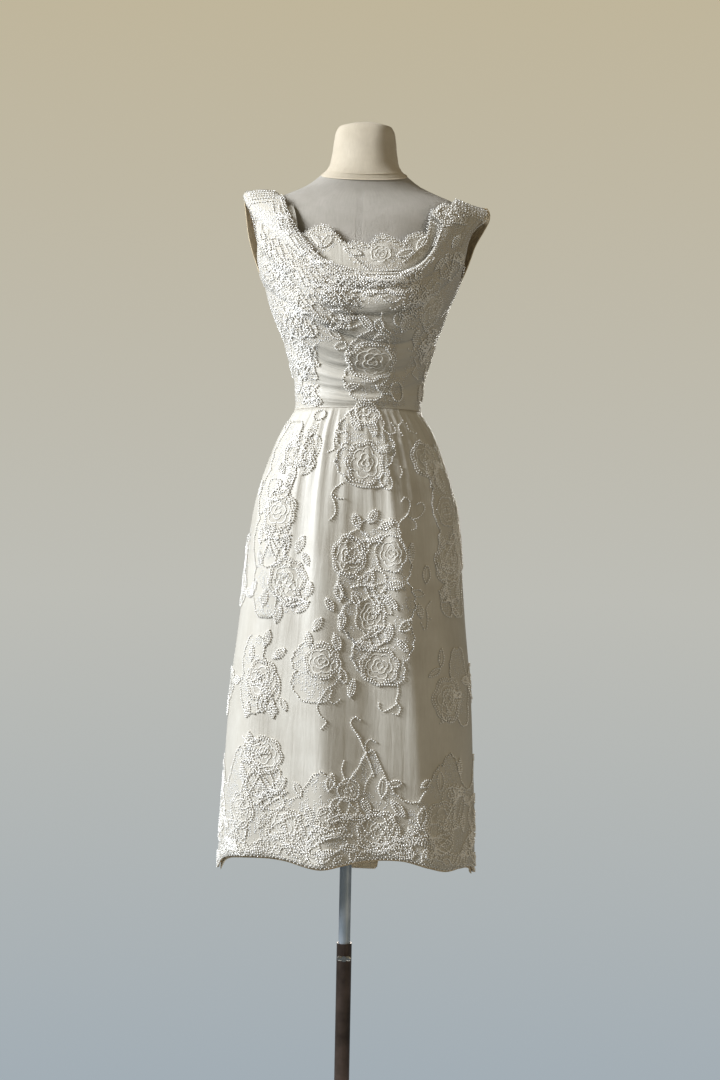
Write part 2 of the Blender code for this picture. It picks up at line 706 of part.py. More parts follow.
def spray_outline(row):
    """Left and right edges of a spray: a row of round lobes on each side, smallest at its two ends."""
    _, top_az, top_z, foot_az, foot_z, half_width, lobes = row
    left, right = [], []
    for t in np.linspace(0.0, 1.0, POINTS_IN_LOBE * lobes + 1):
        height = top_z + (foot_z - top_z) * t
        azimuth = top_az + (foot_az - top_az) * t
        radius = np.linalg.norm(dress_surface(azimuth, height)[:2])
        for side, edge, shift in ((-1, left, 0.0), (1, right, 0.5)):
            lobe = LOBE_NECK + (1.0 - LOBE_NECK) * abs(math.sin(math.pi * (lobes * t + shift))) ** 0.6
            swell = SPRAY_END + (1.0 - SPRAY_END) * math.sin(math.pi * t) ** 0.6
            width = half_width * swell * lobe
            edge.append((azimuth + side * math.degrees(width / radius), height))
    return left, right


def part_of_grid(grid, left, right):
    """The block of the grid's rows and columns that a spray lies on, one cell wider all round."""
    outline = np.array(left + right)
    low, high = outline.min(axis=0), outline.max(axis=0)
    columns = (grid[..., 0].max(axis=0) > low[0]) & (grid[..., 0].min(axis=0) < high[0])
    rows = (grid[..., 1].max(axis=1) > low[1]) & (grid[..., 1].min(axis=1) < high[1])
    first_column, last_column = np.flatnonzero(columns)[[0, -1]]
    first_row, last_row = np.flatnonzero(rows)[[0, -1]]
    return grid[
        max(first_row - 1, 0) : last_row + 2,
        max(first_column - 1, 0) : last_column + 2,
    ]


def sprays(rows, grid):
    """Each spray of the table, on the panel of this grid."""
    for row in rows:
        left, right = spray_outline(row)
        lace_on_panel(row[0], part_of_grid(grid, left, right), left, right)


def hem_lace(name, grid, first_az):
    """The lace border of the hem, its top edge in peaks."""
    share = np.linspace(0, 1, HEM_LACE_POINTS + 1)
    azimuths = first_az + 0.3 + 179.4 * share
    peak = np.abs(np.sin(math.pi * HEM_LACE_PEAKS * share + HEM_LACE_PHASE)) ** 1.6
    top = HEM_Z + HEM_LACE_LOW + HEM_LACE_PEAK * peak
    foot = hem_height(azimuths) - 0.010
    rows = grid[: np.flatnonzero(grid[:, :, 1].min(axis=1) > top.max())[0] + 1]
    left = list(zip(azimuths, foot))
    right = list(zip(azimuths, top))
    lace_on_panel(name, rows, left, right)


# ---------------------------------------------------------------- the dress form and its stand
def dress_form():
    """The limbless form: hips, waist, bust, shoulders and neck in one smooth body."""
    segments = FORM_SEGMENTS
    angles = np.arange(segments) * 360.0 / segments
    rings, points, faces = [], [], []
    for row in FORM_SECTIONS:
        ring = figure(FORM_SECTIONS, angles, np.full(segments, row[0]))
        ring[:, 1] -= bust(ring)
        rings.append(list(range(len(points), len(points) + segments)))
        points += list(ring)
    for low, high in zip(rings, rings[1:]):
        for step in range(segments):
            after = (step + 1) % segments
            faces.append((low[step], low[after], high[after], high[step]))
    for ring, height in ((rings[0], FORM_BOTTOM_Z), (rings[-1], NECK_TOP_Z)):
        centre = len(points)
        points.append((LEAN * (height - LEAN_FROM_Z), 0.0, height))
        faces += [(ring[step], ring[(step + 1) % segments], centre) for step in range(segments)]
    solid("dress_form", points, faces, "linen")


def stand():
    """A round base with a spigot, the tube on it, and the rod with the form's flange on its top."""
    spigot = TUBE_INNER_RADIUS - SEAM_GAP
    collar_z = BASE_THICKNESS + COLLAR_HEIGHT
    base = [
        (0.0, 0.0),
        (BASE_RADIUS - 0.004, 0.0),
        (BASE_RADIUS, 0.003),
        (BASE_RADIUS, BASE_THICKNESS - 0.004),
        (BASE_RADIUS - 0.006, BASE_THICKNESS - 0.001),
        (COLLAR_RADIUS + 0.008, BASE_THICKNESS + 0.004),
        (COLLAR_RADIUS, collar_z),
        (spigot, collar_z),
        (spigot, SPIGOT_TOP_Z),
        (0.0, SPIGOT_TOP_Z),
    ]
    turned("base", base, "bronze", 28)
    tube = [
        (TUBE_INNER_RADIUS, collar_z + SEAM_GAP),
        (TUBE_OUTER_RADIUS, collar_z + SEAM_GAP),
        (TUBE_OUTER_RADIUS, TUBE_TOP_Z),
        (TUBE_INNER_RADIUS, TUBE_TOP_Z),
    ]
    top = FORM_BOTTOM_Z - SEAM_GAP
    rod = [(0.0, ROD_BOTTOM_Z), (ROD_RADIUS, ROD_BOTTOM_Z), (ROD_RADIUS, top), (0.0, top)]
    turned("rod", rod, "steel")
    bore = ROD_RADIUS + SEAM_GAP
    flange = [
        (bore, top - SOCKET_LENGTH),
        (SOCKET_RADIUS, top - SOCKET_LENGTH),
        (SOCKET_RADIUS, top - FLANGE_THICKNESS),
        (FLANGE_RADIUS, top - FLANGE_THICKNESS),
        (FLANGE_RADIUS, top),
        (bore, top),
    ]
    turned("form_flange", flange, "steel")
    return turned("tube", tube, "bronze")


def lying(name, radius, near, far, finish, segments=14):
    """A round bar along Y at the screw's height, from y = near to y = far."""
    points, faces = [], []
    for y in (near, far):
        for step in range(segments):
            angle = 2 * math.pi * step / segments
            points.append((radius * math.cos(angle), y, SCREW_Z + radius * math.sin(angle)))
    faces.append(tuple(range(segments)))
    faces.append(tuple(range(segments, 2 * segments)))
    for step in range(segments):
        after = (step + 1) % segments
        faces.append((step, after, segments + after, segments + step))
    return solid(name, points, faces, finish)


def join_or_cut(target, operation, other):
    """A Boolean of the target with a helper shape."""
    step = target.modifiers.new(operation.lower(), "BOOLEAN")
    step.operation = operation
    step.solver = "EXACT"
    step.object = helper(other)


def wing(name, side):
    """One flattened ear of the wing screw."""
    mesh = bpy.data.meshes.new(name)
    shape = bmesh.new()
    bmesh.ops.create_icosphere(shape, subdivisions=2, radius=1.0)
    for vertex in shape.verts:
        vertex.co.x = vertex.co.x * WING_SIZE[0] + side * WING_REACH
        vertex.co.y = vertex.co.y * WING_SIZE[1] + SCREW_HEAD_Y
        vertex.co.z = vertex.co.z * WING_SIZE[2] + SCREW_Z
    shape.to_mesh(mesh)
    shape.free()
    made = bpy.data.objects.new(name, mesh)
    bpy.context.scene.collection.objects.link(made)
    return made


def wing_screw(tube):
    """The screw that clamps the rod, through a clearance hole in the tube's front."""
    hole = lying("screw_hole", SCREW_RADIUS + SEAM_GAP, -0.020, 0.0, "bronze", 16)
    join_or_cut(tube, "DIFFERENCE", hole)
    tip = -(ROD_RADIUS + SEAM_GAP)
    screw = lying("wing_screw", SCREW_RADIUS, tip, SCREW_HEAD_Y, "steel")
    hub_near, hub_far = SCREW_HEAD_Y + HUB_LENGTH / 2, SCREW_HEAD_Y - HUB_LENGTH / 2
    join_or_cut(screw, "UNION", lying("screw_hub", HUB_RADIUS, hub_near, hub_far, "steel"))
    for side, name in ((-1, "screw_wing_a"), (1, "screw_wing_b")):
        join_or_cut(screw, "UNION", wing(name, side))


def build():
    for made in list(bpy.data.objects):
        bpy.data.objects.remove(made)
    front = bodice_front()
    bodice_back()
    skirt_front = skirt_panel("skirt_front", -90.0)
    skirt_back = skirt_panel("skirt_back", 90.0)
    hem_lining("hem_lining_front", -90.0)
    hem_lining("hem_lining_back", 90.0)
    neck_yoke()
    sprays(BODICE_SPRAYS, front)
    sprays(FRONT_SPRAYS, skirt_front)
    sprays(BACK_SPRAYS, skirt_back)
    hem_lace("hem_lace_front", skirt_front, -90.0)
    hem_lace("hem_lace_back", skirt_back, 90.0)
    dress_form()
    wing_screw(stand())


build()
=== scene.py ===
# %% [markdown]
# # A silk and beaded lace dress on its form
# This lesson dresses a plain model of a short evening dress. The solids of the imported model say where
# everything is; here every panel of cloth is worked out again on a finer grid, with its folds, and the
# beaded lace is sewn on it bead by bead.
# A script that only bumps a flat texture would be shorter, but the lace stands two millimetres proud of
# the silk and throws small shadows, so it is built as real beads, cords and petals.

import math

import bmesh
import bpy
import numpy as np
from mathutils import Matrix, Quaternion, Vector


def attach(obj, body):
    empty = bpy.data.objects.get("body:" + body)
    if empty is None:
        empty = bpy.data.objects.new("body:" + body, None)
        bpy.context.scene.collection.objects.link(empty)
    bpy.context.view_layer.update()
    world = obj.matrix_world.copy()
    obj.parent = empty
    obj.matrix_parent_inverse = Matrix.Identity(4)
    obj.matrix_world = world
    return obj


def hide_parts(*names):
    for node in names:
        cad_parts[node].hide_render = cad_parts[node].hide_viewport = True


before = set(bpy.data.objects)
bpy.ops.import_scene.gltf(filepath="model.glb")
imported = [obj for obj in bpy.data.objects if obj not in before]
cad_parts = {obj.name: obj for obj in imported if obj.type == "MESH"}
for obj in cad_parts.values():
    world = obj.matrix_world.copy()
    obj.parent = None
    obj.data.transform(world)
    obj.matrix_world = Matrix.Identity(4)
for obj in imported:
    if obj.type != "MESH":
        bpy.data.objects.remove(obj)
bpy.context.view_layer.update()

# %% [markdown]
# ## The figure
# A dress has few straight lines, so its surface is described as a tailor measures it: how wide and how
# deep the figure is at each height. A point is named by its azimuth (0 at the centre front, 90 at the
# wearer's left side seam, 180 at the centre back) and its height. Lofting curves by hand would also do,
# but two short tables are easier to change and every later piece can be laid on the same surface.

# %% Tables of the figure
WAIST_Z, UNDERARM_Z, SHOULDER_Z = 1.312, 1.515, 1.685
SEAM_GAP = 0.0003
DRESS = np.array([  # height, half the width, depth in front, depth behind
    (.525, .2160, .1500, .1580), (.700, .2095, .1460, .1530), (.850, .2020, .1420, .1490),
    (.960, .1910, .1370, .1460), (1.030, .1850, .1330, .1430), (1.100, .1785, .1270, .1390),
    (1.160, .1690, .1200, .1300), (1.230, .1480, .1100, .1130), (1.280, .1270, .1010, .0960),
    (1.312, .1080, .0940, .0875), (1.350, .1070, .0945, .0875), (1.400, .1190, .1040, .0920),
    (1.440, .1330, .1180, .0970), (1.485, .1490, .1330, .1020), (1.530, .1670, .1320, .1060),
    (1.570, .1860, .1190, .1050), (1.610, .1980, .0990, .0960), (1.650, .2040, .0720, .0760),
    (1.668, .2060, .0480, .0540), (1.679, .2040, .0250, .0290), (1.683, .2010, .0100, .0110),
    (1.685, .1990, .0012, .0014)])
FORM = np.array([
    (1.000, .1420, .0950, .1020), (1.010, .1530, .1030, .1110), (1.035, .1610, .1100, .1200),
    (1.100, .1650, .1130, .1250), (1.160, .1570, .1080, .1180), (1.230, .1370, .0985, .1010),
    (1.280, .1150, .0900, .0840), (1.330, .0985, .0840, .0775), (1.400, .1090, .0930, .0825),
    (1.440, .1220, .1050, .0870), (1.485, .1350, .1170, .0920), (1.530, .1450, .1130, .0960),
    (1.570, .1540, .1000, .0950), (1.610, .1660, .0830, .0850), (1.640, .1720, .0700, .0740),
    (1.656, .1690, .0580, .0600), (1.669, .1550, .0480, .0500), (1.679, .1310, .0440, .0460),
    (1.692, .1010, .0460, .0490), (1.708, .0780, .0500, .0530), (1.722, .0630, .0490, .0520),
    (1.745, .0560, .0470, .0500), (1.775, .0520, .0450, .0480), (1.788, .0490, .0420, .0450),
    (1.796, .0410, .0350, .0380), (1.800, .0260, .0220, .0240)])
ROUNDNESS, LEAN, LEAN_FROM_Z = 2.2, 0.0080, 0.60
CUP_X, CUP_Z, CUP_WIDTH, CUP_HEIGHT, CUP_DEPTH = .075, 1.480, .050, .055, .012
print("dress", len(DRESS), "sections; form", len(FORM), "sections")


# %% Small mathematics of the figure
def smooth(table, at):
    """A cubic through each row of a table, whose slope at a row is that between its neighbours."""
    rows = np.asarray(table, float)
    knots = rows[:, 0]
    slopes = np.gradient(rows[:, 1:], knots, axis=0)
    at = np.clip(np.asarray(at, float), knots[0], knots[-1])
    index = np.clip(np.searchsorted(knots, at) - 1, 0, len(knots) - 2)
    span = (knots[index + 1] - knots[index])[..., None]
    t = ((at - knots[index]) / span[..., 0])[..., None]
    return (rows[index, 1:] * (2 * t**3 - 3 * t**2 + 1) + slopes[index] * span * (t**3 - 2 * t**2 + t)
            + rows[index + 1, 1:] * (3 * t**2 - 2 * t**3) + slopes[index + 1] * span * (t**3 - t**2))


def ease(value, start, end):
    """0 before start, 1 after end, and three t squared less two t cubed between them."""
    t = np.clip((np.asarray(value, float) - start) / (end - start), 0.0, 1.0)
    return t * t * (3.0 - 2.0 * t)


def figure(sections, azimuth, height):
    """A superellipse: half the width times the sine, and the depth times the cosine, each to 2/2.2."""
    azimuth, height = np.broadcast_arrays(np.radians(azimuth), np.asarray(height, float))
    half_width, front, back = np.moveaxis(smooth(sections, height), -1, 0)
    sine, cosine = np.sin(azimuth), np.cos(azimuth)
    x = half_width * np.sign(sine) * np.abs(sine) ** (2 / ROUNDNESS) + LEAN * (height - LEAN_FROM_Z)
    y = -np.where(cosine > 0, front, back) * np.sign(cosine) * np.abs(cosine) ** (2 / ROUNDNESS)
    return np.stack([x, y, height], axis=-1)


def bust(points):
    """The two cups: a bell curve across and up from each cup's middle, on the front alone."""
    across, up = (np.abs(points[..., 0]) - CUP_X) / CUP_WIDTH, (points[..., 2] - CUP_Z) / CUP_HEIGHT
    return CUP_DEPTH * np.exp(-(across**2) - up**2) * ease(-points[..., 1], 0.02, 0.07)


def dress_surface(azimuth, height):
    """The dress before its folds: the figure, with four fifths of the cups."""
    points = figure(DRESS, azimuth, height)
    points[..., 1] -= 0.8 * bust(points)
    return points


def outward(azimuth, height):
    """Unit normals: the step along the azimuth crossed with the step up."""
    along = dress_surface(azimuth + 0.5, height) - dress_surface(azimuth - 0.5, height)
    up = dress_surface(azimuth, height + 0.002) - dress_surface(azimuth, height - 0.002)
    normal = np.cross(along, up)
    return normal / np.linalg.norm(normal, axis=-1, keepdims=True)


def azimuth_at(x, height):
    """The azimuth on the dress's front whose sideways place is x: the superellipse turned round."""
    share = (np.asarray(x, float) - LEAN * (height - LEAN_FROM_Z)) / smooth(DRESS, height)[..., 0]
    share = np.clip(share, -1.0, 1.0)
    return np.degrees(np.arcsin(np.sign(share) * np.abs(share) ** (ROUNDNESS / 2)))


print("bust depth", round(-float(dress_surface(0.0, 1.50)[1]), 4), "m")

# %% [markdown]
# ## The folds
# The drape of the bodice is one length of silk pulled into swags between the shoulders. Each swag is
# a rounded roll that hangs over the one below it, with a sharp crease under its lower edge. A cloth
# simulation would find such folds too, but not these ones, so each crease is given as a line across
# the front, and the cloth between two lines follows one rounded profile.

# %% Lines of the drape
TOP_EDGE = np.array([  # x, z of the front's top edge in the front view
    (-.194, 1.685), (-.160, 1.685), (-.136, 1.674), (-.119, 1.636), (-.100, 1.598), (-.077, 1.570),
    (-.044, 1.543), (-.010, 1.531), (.046, 1.529), (.080, 1.534), (.104, 1.549), (.125, 1.577),
    (.138, 1.615), (.150, 1.655), (.166, 1.685), (.197, 1.685)])
STRAP_SHARE, STRAP_COLUMNS = 0.115, 6 / 34
DRAPE_FOLDS = [  # left z, three places (x, z), right z, and how far the roll stands out: left, middle, right
    (1.650, -.108, 1.572, -.018, 1.505, .098, 1.517, 1.610, .0065, .0080, .0030),
    (1.590, -.119, 1.528, -.032, 1.466, .088, 1.472, 1.555, .0060, .0060, .0020),
    (1.530, -.117, 1.487, -.030, 1.434, .076, 1.420, 1.500, .0050, .0075, .0015),
    (1.440, -.093, 1.405, -.014, 1.370, .074, 1.374, 1.430, .0025, .0035, .0018),
    (1.372, -.078, 1.352, -.014, 1.336, .070, 1.341, 1.368, .0020, .0030, .0020)]
COWL_ROLL = (.0040, .0060, .0040)
FOLD_STATIONS = (0.0, .29, .50, .72, 1.0)


def side_edge(side, height):
    """Azimuth of the front's edge: the side seam, then 26 degrees into the armhole, then out to the tip."""
    into, out = ease(height, UNDERARM_Z, UNDERARM_Z + .060), ease(height, 1.615, SHOULDER_Z)
    return side * (90 - 26 * into + 12 * out)


def top_edge(across):
    """The top edge by its length, with its first and last shares kept for the two straps."""
    length = np.r_[0, np.cumsum(np.linalg.norm(np.diff(TOP_EDGE, axis=0), axis=1))]
    share = np.interp(across, (0, STRAP_COLUMNS, 1 - STRAP_COLUMNS, 1), (0, STRAP_SHARE, 1 - STRAP_SHARE, 1))
    x, z = smooth(np.column_stack([length, TOP_EDGE]), share * length[-1]).T
    z = np.minimum(z, SHOULDER_Z)
    return np.column_stack([azimuth_at(x, z), z])


def fold_line(row, across):
    """Azimuth and height along one crease, a cubic through its five places."""
    left_z, x1, z1, x2, z2, x3, z3, right_z = row[:8]
    inner = azimuth_at(np.array([x1, x2, x3]), np.array([z1, z2, z3]))
    azimuths = [side_edge(-1, left_z), *inner, side_edge(1, right_z)]
    return smooth(np.column_stack([FOLD_STATIONS, azimuths, [left_z, z1, z2, z3, right_z]]), across)


def drape_lines(across):
    """Azimuths and heights of the top edge, of each crease below it and of the waist seam."""
    waist = np.column_stack([-90 + 180 * across, np.full(len(across), WAIST_Z + SEAM_GAP)])
    return [top_edge(across)] + [fold_line(row, across) for row in DRAPE_FOLDS] + [waist]


ACROSS = np.linspace(0, 1, 241)
LINES = drape_lines(ACROSS)
ROLLS = [COWL_ROLL] + [row[8:] for row in DRAPE_FOLDS]
print("creases across the front:", len(DRAPE_FOLDS))


# %% Relief of the drape
def roll_profile(down, index):
    """How full a roll is from its upper crease (0) to its lower one (1): a slow rise to its crest,
    then a quarter circle that ends square to the cloth below. The cowl's own edge starts part full, and
    the rolls of the midriff, from the fourth on, sink softly by a squared cosine instead."""
    crest = np.where((index == 0) | (index > 2), .50, .70)
    start = np.where(index == 0, .50, .0)
    rise = start + (1 - start) * np.sin(np.pi / 2 * np.minimum(down / crest, 1)) ** 1.2
    past = np.maximum(down - crest, 0) / (1 - crest)
    fall = np.where(index > 2, np.cos(np.pi / 2 * past) ** 2, np.sqrt(np.clip(1 - past**2, 0, 1)))
    return rise * fall


def drape(azimuth, height):
    """The height of the rolls at any point: its share of the way down between two creases, through
    the roll's profile, times the roll's fullness there. It dies out at the side seams and armholes."""
    azimuth, height = np.broadcast_arrays(np.asarray(azimuth, float), np.asarray(height, float))
    levels = np.stack([np.interp(azimuth, line[:, 0], line[:, 1]) for line in LINES])
    across = np.interp(azimuth, LINES[3][:, 0], ACROSS)
    index = np.clip((levels > height).sum(axis=0) - 1, 0, len(ROLLS) - 1)
    upper = np.take_along_axis(levels, index[None], 0)[0]
    lower = np.take_along_axis(levels, index[None] + 1, 0)[0]
    down = np.clip((upper - height) / np.maximum(upper - lower, 1e-5), 0, 1)
    full = np.stack([np.interp(across, (0, .45, 1), roll) for roll in ROLLS])
    crest = np.take_along_axis(full, index[None], 0)[0]
    edge = ease(side_edge(1, height) - np.abs(azimuth), 0, 7)
    strap = 1 - .75 * ease(height, 1.545, 1.620) * ease(np.abs(across - .5), .27, .33)
    return crest * roll_profile(down, index) * edge * strap


print("fullest roll", round(float(drape(-10.0, np.linspace(1.4, 1.53, 60)).max()) * 1000, 1), "mm")

# %% [markdown]
# ## Small creases
# Between the big rolls the silk is crushed into many finer creases: across the midriff, up the straps
# and down from the waist seam. Noise would scatter them evenly, which cloth never does. Each one here
# is a row of a table with its own course, width, height and length, and they thin out at both ends.

# %% Tables of small creases
SWEEPS = [  # across the front: x1, z1, x2, z2, x3, z3, width, height
    (-.105, 1.466, -.050, 1.430, .010, 1.404, .0045, .0016),
    (-.100, 1.442, -.040, 1.408, .030, 1.398, .0038, .0014),
    (-.095, 1.424, -.045, 1.392, .000, 1.380, .0030, .0012),
    (-.070, 1.398, -.020, 1.384, .060, 1.392, .0034, .0013),
    (-.085, 1.385, -.030, 1.362, .045, 1.366, .0030, .0013),
    (-.060, 1.372, -.010, 1.356, .050, 1.356, .0024, .0011),
    (-.080, 1.362, -.040, 1.349, .020, 1.348, .0024, .0010),
    (-.050, 1.345, .000, 1.331, .060, 1.334, .0028, .0012),
    (-.075, 1.338, -.030, 1.326, .030, 1.322, .0022, .0010),
    (-.060, 1.326, -.010, 1.319, .050, 1.320, .0020, .0008),
    (-.112, 1.555, -.060, 1.500, -.010, 1.484, .0034, .0012),
    (-.100, 1.512, -.055, 1.478, -.005, 1.452, .0036, .0014),
    (-.118, 1.500, -.080, 1.470, -.030, 1.448, .0030, .0011),
    (.020, 1.468, .060, 1.462, .100, 1.476, .0034, .0010),
    (.015, 1.425, .055, 1.410, .095, 1.420, .0034, .0012),
    (.030, 1.385, .065, 1.380, .090, 1.392, .0028, .0010),
    (-.128, 1.600, -.105, 1.560, -.070, 1.528, .0032, .0013),
    (.060, 1.352, .078, 1.350, .092, 1.356, .0022, .0008)]
STRAP_CREASES = [  # up the straps: foot x, z, middle x, z, top x, z, width, height
    (-.150, 1.530, -.158, 1.600, -.166, 1.676, .0030, .0040),
    (-.143, 1.545, -.148, 1.605, -.154, 1.680, .0024, .0032),
    (-.158, 1.545, -.168, 1.605, -.177, 1.676, .0026, .0036),
    (-.134, 1.560, -.138, 1.610, -.145, 1.676, .0022, .0028),
    (-.165, 1.572, -.177, 1.615, -.187, 1.672, .0022, .0026),
    (.146, 1.515, .160, 1.585, .172, 1.662, .0028, .0034),
    (.152, 1.535, .170, 1.595, .182, 1.662, .0024, .0032),
    (.138, 1.540, .148, 1.600, .160, 1.668, .0024, .0028),
    (.160, 1.556, .180, 1.610, .192, 1.655, .0020, .0026)]
GATHERS_FRONT = [  # down from the waist: azimuth at the top and foot, foot z, width, height
    (-70, -66, 1.02, 3.6, .0020), (-61, -58, 1.15, 2.4, .0014), (-52, -50, .94, 3.4, .0024),
    (-43, -40, 1.08, 2.6, .0018), (-35, -30, .82, 3.6, .0030), (-27, -25, 1.12, 2.2, .0018),
    (-20, -17, .74, 3.2, .0038), (-13, -9, 1.06, 2.2, .0020), (-6, -3, .90, 2.6, .0026),
    (0, 4, 1.14, 2.0, .0018), (5, 10, .98, 2.6, .0026), (11, 14, 1.18, 1.8, .0018),
    (16, 22, .84, 3.0, .0032), (23, 27, 1.10, 2.2, .0020), (29, 36, .92, 3.0, .0028),
    (36, 41, 1.16, 2.2, .0018), (44, 50, 1.00, 3.2, .0024), (53, 57, 1.13, 2.4, .0016),
    (63, 68, .90, 3.8, .0022), (74, 77, 1.12, 2.6, .0012)]
GATHERS_BACK = [
    (104, 107, 1.00, 3.4, .0020), (113, 115, 1.14, 2.4, .0016), (121, 125, .88, 3.4, .0026),
    (130, 131, 1.10, 2.4, .0018), (138, 141, .96, 3.0, .0026), (146, 148, 1.16, 2.0, .0018),
    (153, 156, .80, 3.2, .0032), (161, 162, 1.08, 2.2, .0020), (168, 169, .94, 2.8, .0028),
    (175, 175, 1.14, 2.0, .0018), (186, 184, 1.02, 2.6, .0026), (193, 191, .86, 3.0, .0030),
    (200, 198, 1.12, 2.2, .0020), (208, 204, .92, 3.2, .0028), (216, 213, 1.15, 2.2, .0018),
    (224, 220, .84, 3.4, .0028), (233, 230, 1.08, 2.6, .0020), (242, 239, .98, 3.4, .0022),
    (252, 250, 1.13, 2.6, .0014)]
BACK_SWEEPS = [  # azimuth, z three times, width, height
    (105, 1.500, 140, 1.455, 178, 1.440, .0050, .0012), (110, 1.440, 150, 1.405, 182, 1.396, .0042, .0012),
    (104, 1.400, 135, 1.378, 170, 1.372, .0036, .0010), (185, 1.425, 220, 1.446, 252, 1.480, .0046, .0012),
    (190, 1.372, 220, 1.384, 254, 1.410, .0036, .0010), (120, 1.350, 150, 1.338, 185, 1.336, .0030, .0009),
    (176, 1.345, 210, 1.348, 240, 1.362, .0030, .0009), (150, 1.480, 178, 1.470, 205, 1.482, .0046, .0010)]
print("small creases:", sum(map(len, (SWEEPS, STRAP_CREASES, GATHERS_FRONT, GATHERS_BACK, BACK_SWEEPS))))


# %% Relief of small creases
STRAP_METRES_PER_DEGREE = .0028


def hump(distance, width):
    """A bell curve of the distance from the crease's line."""
    return np.exp(-((distance / width) ** 2))


def sweep(azimuth, height, row):
    """A ridge along the parabola through three places, fading over a quarter of its length at its ends."""
    a1, z1, a2, z2, a3, z3, width, tall = row
    course = np.polynomial.Polynomial.fit([a1, a2, a3], [z1, z2, z3], 2)
    share = (azimuth - a1) / (a3 - a1)
    inside = ease(share, -.05, .25) * (1 - ease(share, .75, 1.05))
    line = course(np.clip(azimuth, min(a1, a3) - 4, max(a1, a3) + 4))
    return tall * hump(height - line, width) * inside


def rising(azimuth, height, row):
    """A ridge up a strap: the same with height as its length, its width measured in metres across."""
    a1, z1, a2, z2, a3, z3, width, tall = row
    course = np.polynomial.Polynomial.fit([z1, z2, z3], [a1, a2, a3], 2)
    metres = (azimuth - course(np.clip(height, z1, z3))) * STRAP_METRES_PER_DEGREE
    return tall * hump(metres, width) * ease(height, z1, z1 + .03) * (1 - ease(height, z3, z3 + .006) * .5)


def gather(azimuth, height, row):
    """A ridge down from the waist seam, narrow and pinched at the seam, wider and lower to its foot."""
    top, foot, foot_z, width, tall = row
    down = np.clip((WAIST_Z - height) / (WAIST_Z - foot_z), 0, 1)
    middle = top + (foot - top) * down
    fade = (.35 + .50 * ease(down, 0, .10)) * (1 - ease(down, .45, 1.15))
    return tall * hump(azimuth - middle, width * (.55 + .9 * down)) * fade


def as_azimuths(rows):
    """The tables' sideways places turned to azimuths, once."""
    return [tuple(v for x, z in zip(row[0:6:2], row[1:6:2]) for v in (float(azimuth_at(x, z)), z)) + row[6:]
            for row in rows]


SWEEPS, STRAP_CREASES = as_azimuths(SWEEPS), as_azimuths(STRAP_CREASES)


def side_fade(azimuth, reach=.10):
    """0 at the side seams, where folds die out, and 1 away from them."""
    return ease(np.abs(np.cos(np.radians(azimuth))), 0, reach)


WAVES_Z = .56  # where the waves of the hem are full
BROAD_FOLDS = [  # azimuth at the waist and at the hem, width in degrees, height (below zero for a valley)
    (-18, -7, 6.0, .0070), (6, 9, 7.5, -.0058), (18, 34, 5.5, .0050), (-30, -34, 8.0, -.0030),
    (-45, -54, 9.0, .0030), (33, 46, 7.0, -.0030), (150, 146, 9.0, .0040), (172, 168, 8.0, -.0035),
    (190, 194, 8.0, .0040), (216, 222, 9.0, -.0030)]


def hem_waves(azimuth, height):
    """The broad waves of the hem: seven uneven swells round the skirt, gone at the hips, and a few
    long soft folds from below the waist to the hem."""
    turn = np.radians(azimuth)
    wave = .5 + .5 * np.cos(7 * turn + .9 * np.sin(turn) + .6)
    down = 1 - (height - WAVES_Z) / (WAIST_Z - WAVES_Z)
    broad = sum(tall * hump(azimuth - (waist + (foot - waist) * down), width)
                for waist, foot, width, tall in BROAD_FOLDS) * ease(down, .02, .36)
    return (.0040 * wave * (1 - ease(height, WAVES_Z, 1.10)) + broad) * side_fade(azimuth)


def relief(azimuth, height):
    """How far the cloth stands out of the smooth figure, by which panel the point is on."""
    azimuth, height = np.broadcast_arrays(np.asarray(azimuth, float), np.asarray(height, float))
    gathers = sum(gather(azimuth, height, row) for row in GATHERS_FRONT + GATHERS_BACK)
    skirt = gathers * side_fade(azimuth) + hem_waves(azimuth, height)
    strap = sum(rising(azimuth, height, row) for row in STRAP_CREASES)
    front = drape(azimuth, height) + sum(sweep(azimuth, height, row) for row in SWEEPS)
    front = np.maximum(front, strap) * ease(side_edge(1, height) - np.abs(azimuth), 0, 4)
    back = sum(sweep(azimuth, height, row) for row in BACK_SWEEPS) * side_fade(azimuth)
    bodice = np.where(np.abs(azimuth) < 90, front, back)
    return np.where(height < WAIST_Z, skirt, bodice)


SLIP_DOWN, SLIP_OUT = .022, .014  # how far the slipped strap has slid


def slipped(x, z):
    """1 at the outer end of the slipped strap, 0 on the rest of the dress, and eased between them."""
    return ease(x, .135, .200) * ease(z, 1.590, 1.680)


def cloth(azimuth, height, lift=0.0, share=1.0):
    """Places on the dress: the smooth figure plus its normal times the relief and a lift. Only ridges
    take the share, so that an inner face never comes through a valley. The slipped strap is slid down
    and out, and front and back stay on their own sides of the side seams' plane."""
    fold = relief(azimuth, height)
    fold = np.where(fold > 0, fold * share, fold)
    points = dress_surface(azimuth, height) + outward(azimuth, height) * (fold + lift)[..., None]
    amount = slipped(points[..., 0], points[..., 2])
    points[..., 2] -= SLIP_DOWN * amount
    points[..., 0] += SLIP_OUT * amount
    side = np.where(np.cos(np.radians(azimuth)) > 0, -1.0, 1.0)
    points[..., 1] = side * np.maximum(side * points[..., 1], SEAM_GAP / 2)
    return points


tallest = float(relief(np.linspace(-80, 80, 400), 1.2).max())
print("skirt gathers stand out by up to", round(tallest * 1000, 1), "mm")

# %% [markdown]
# ## From grids to meshes
# Every piece of cloth is a thin closed shell: an outer grid, an inner grid with half as many rows and
# columns, and a rim that joins them. Solidify would do the same, but it thickens along the mesh's own
# normals and pinches in sharp creases, while here both faces are worked out from the figure.


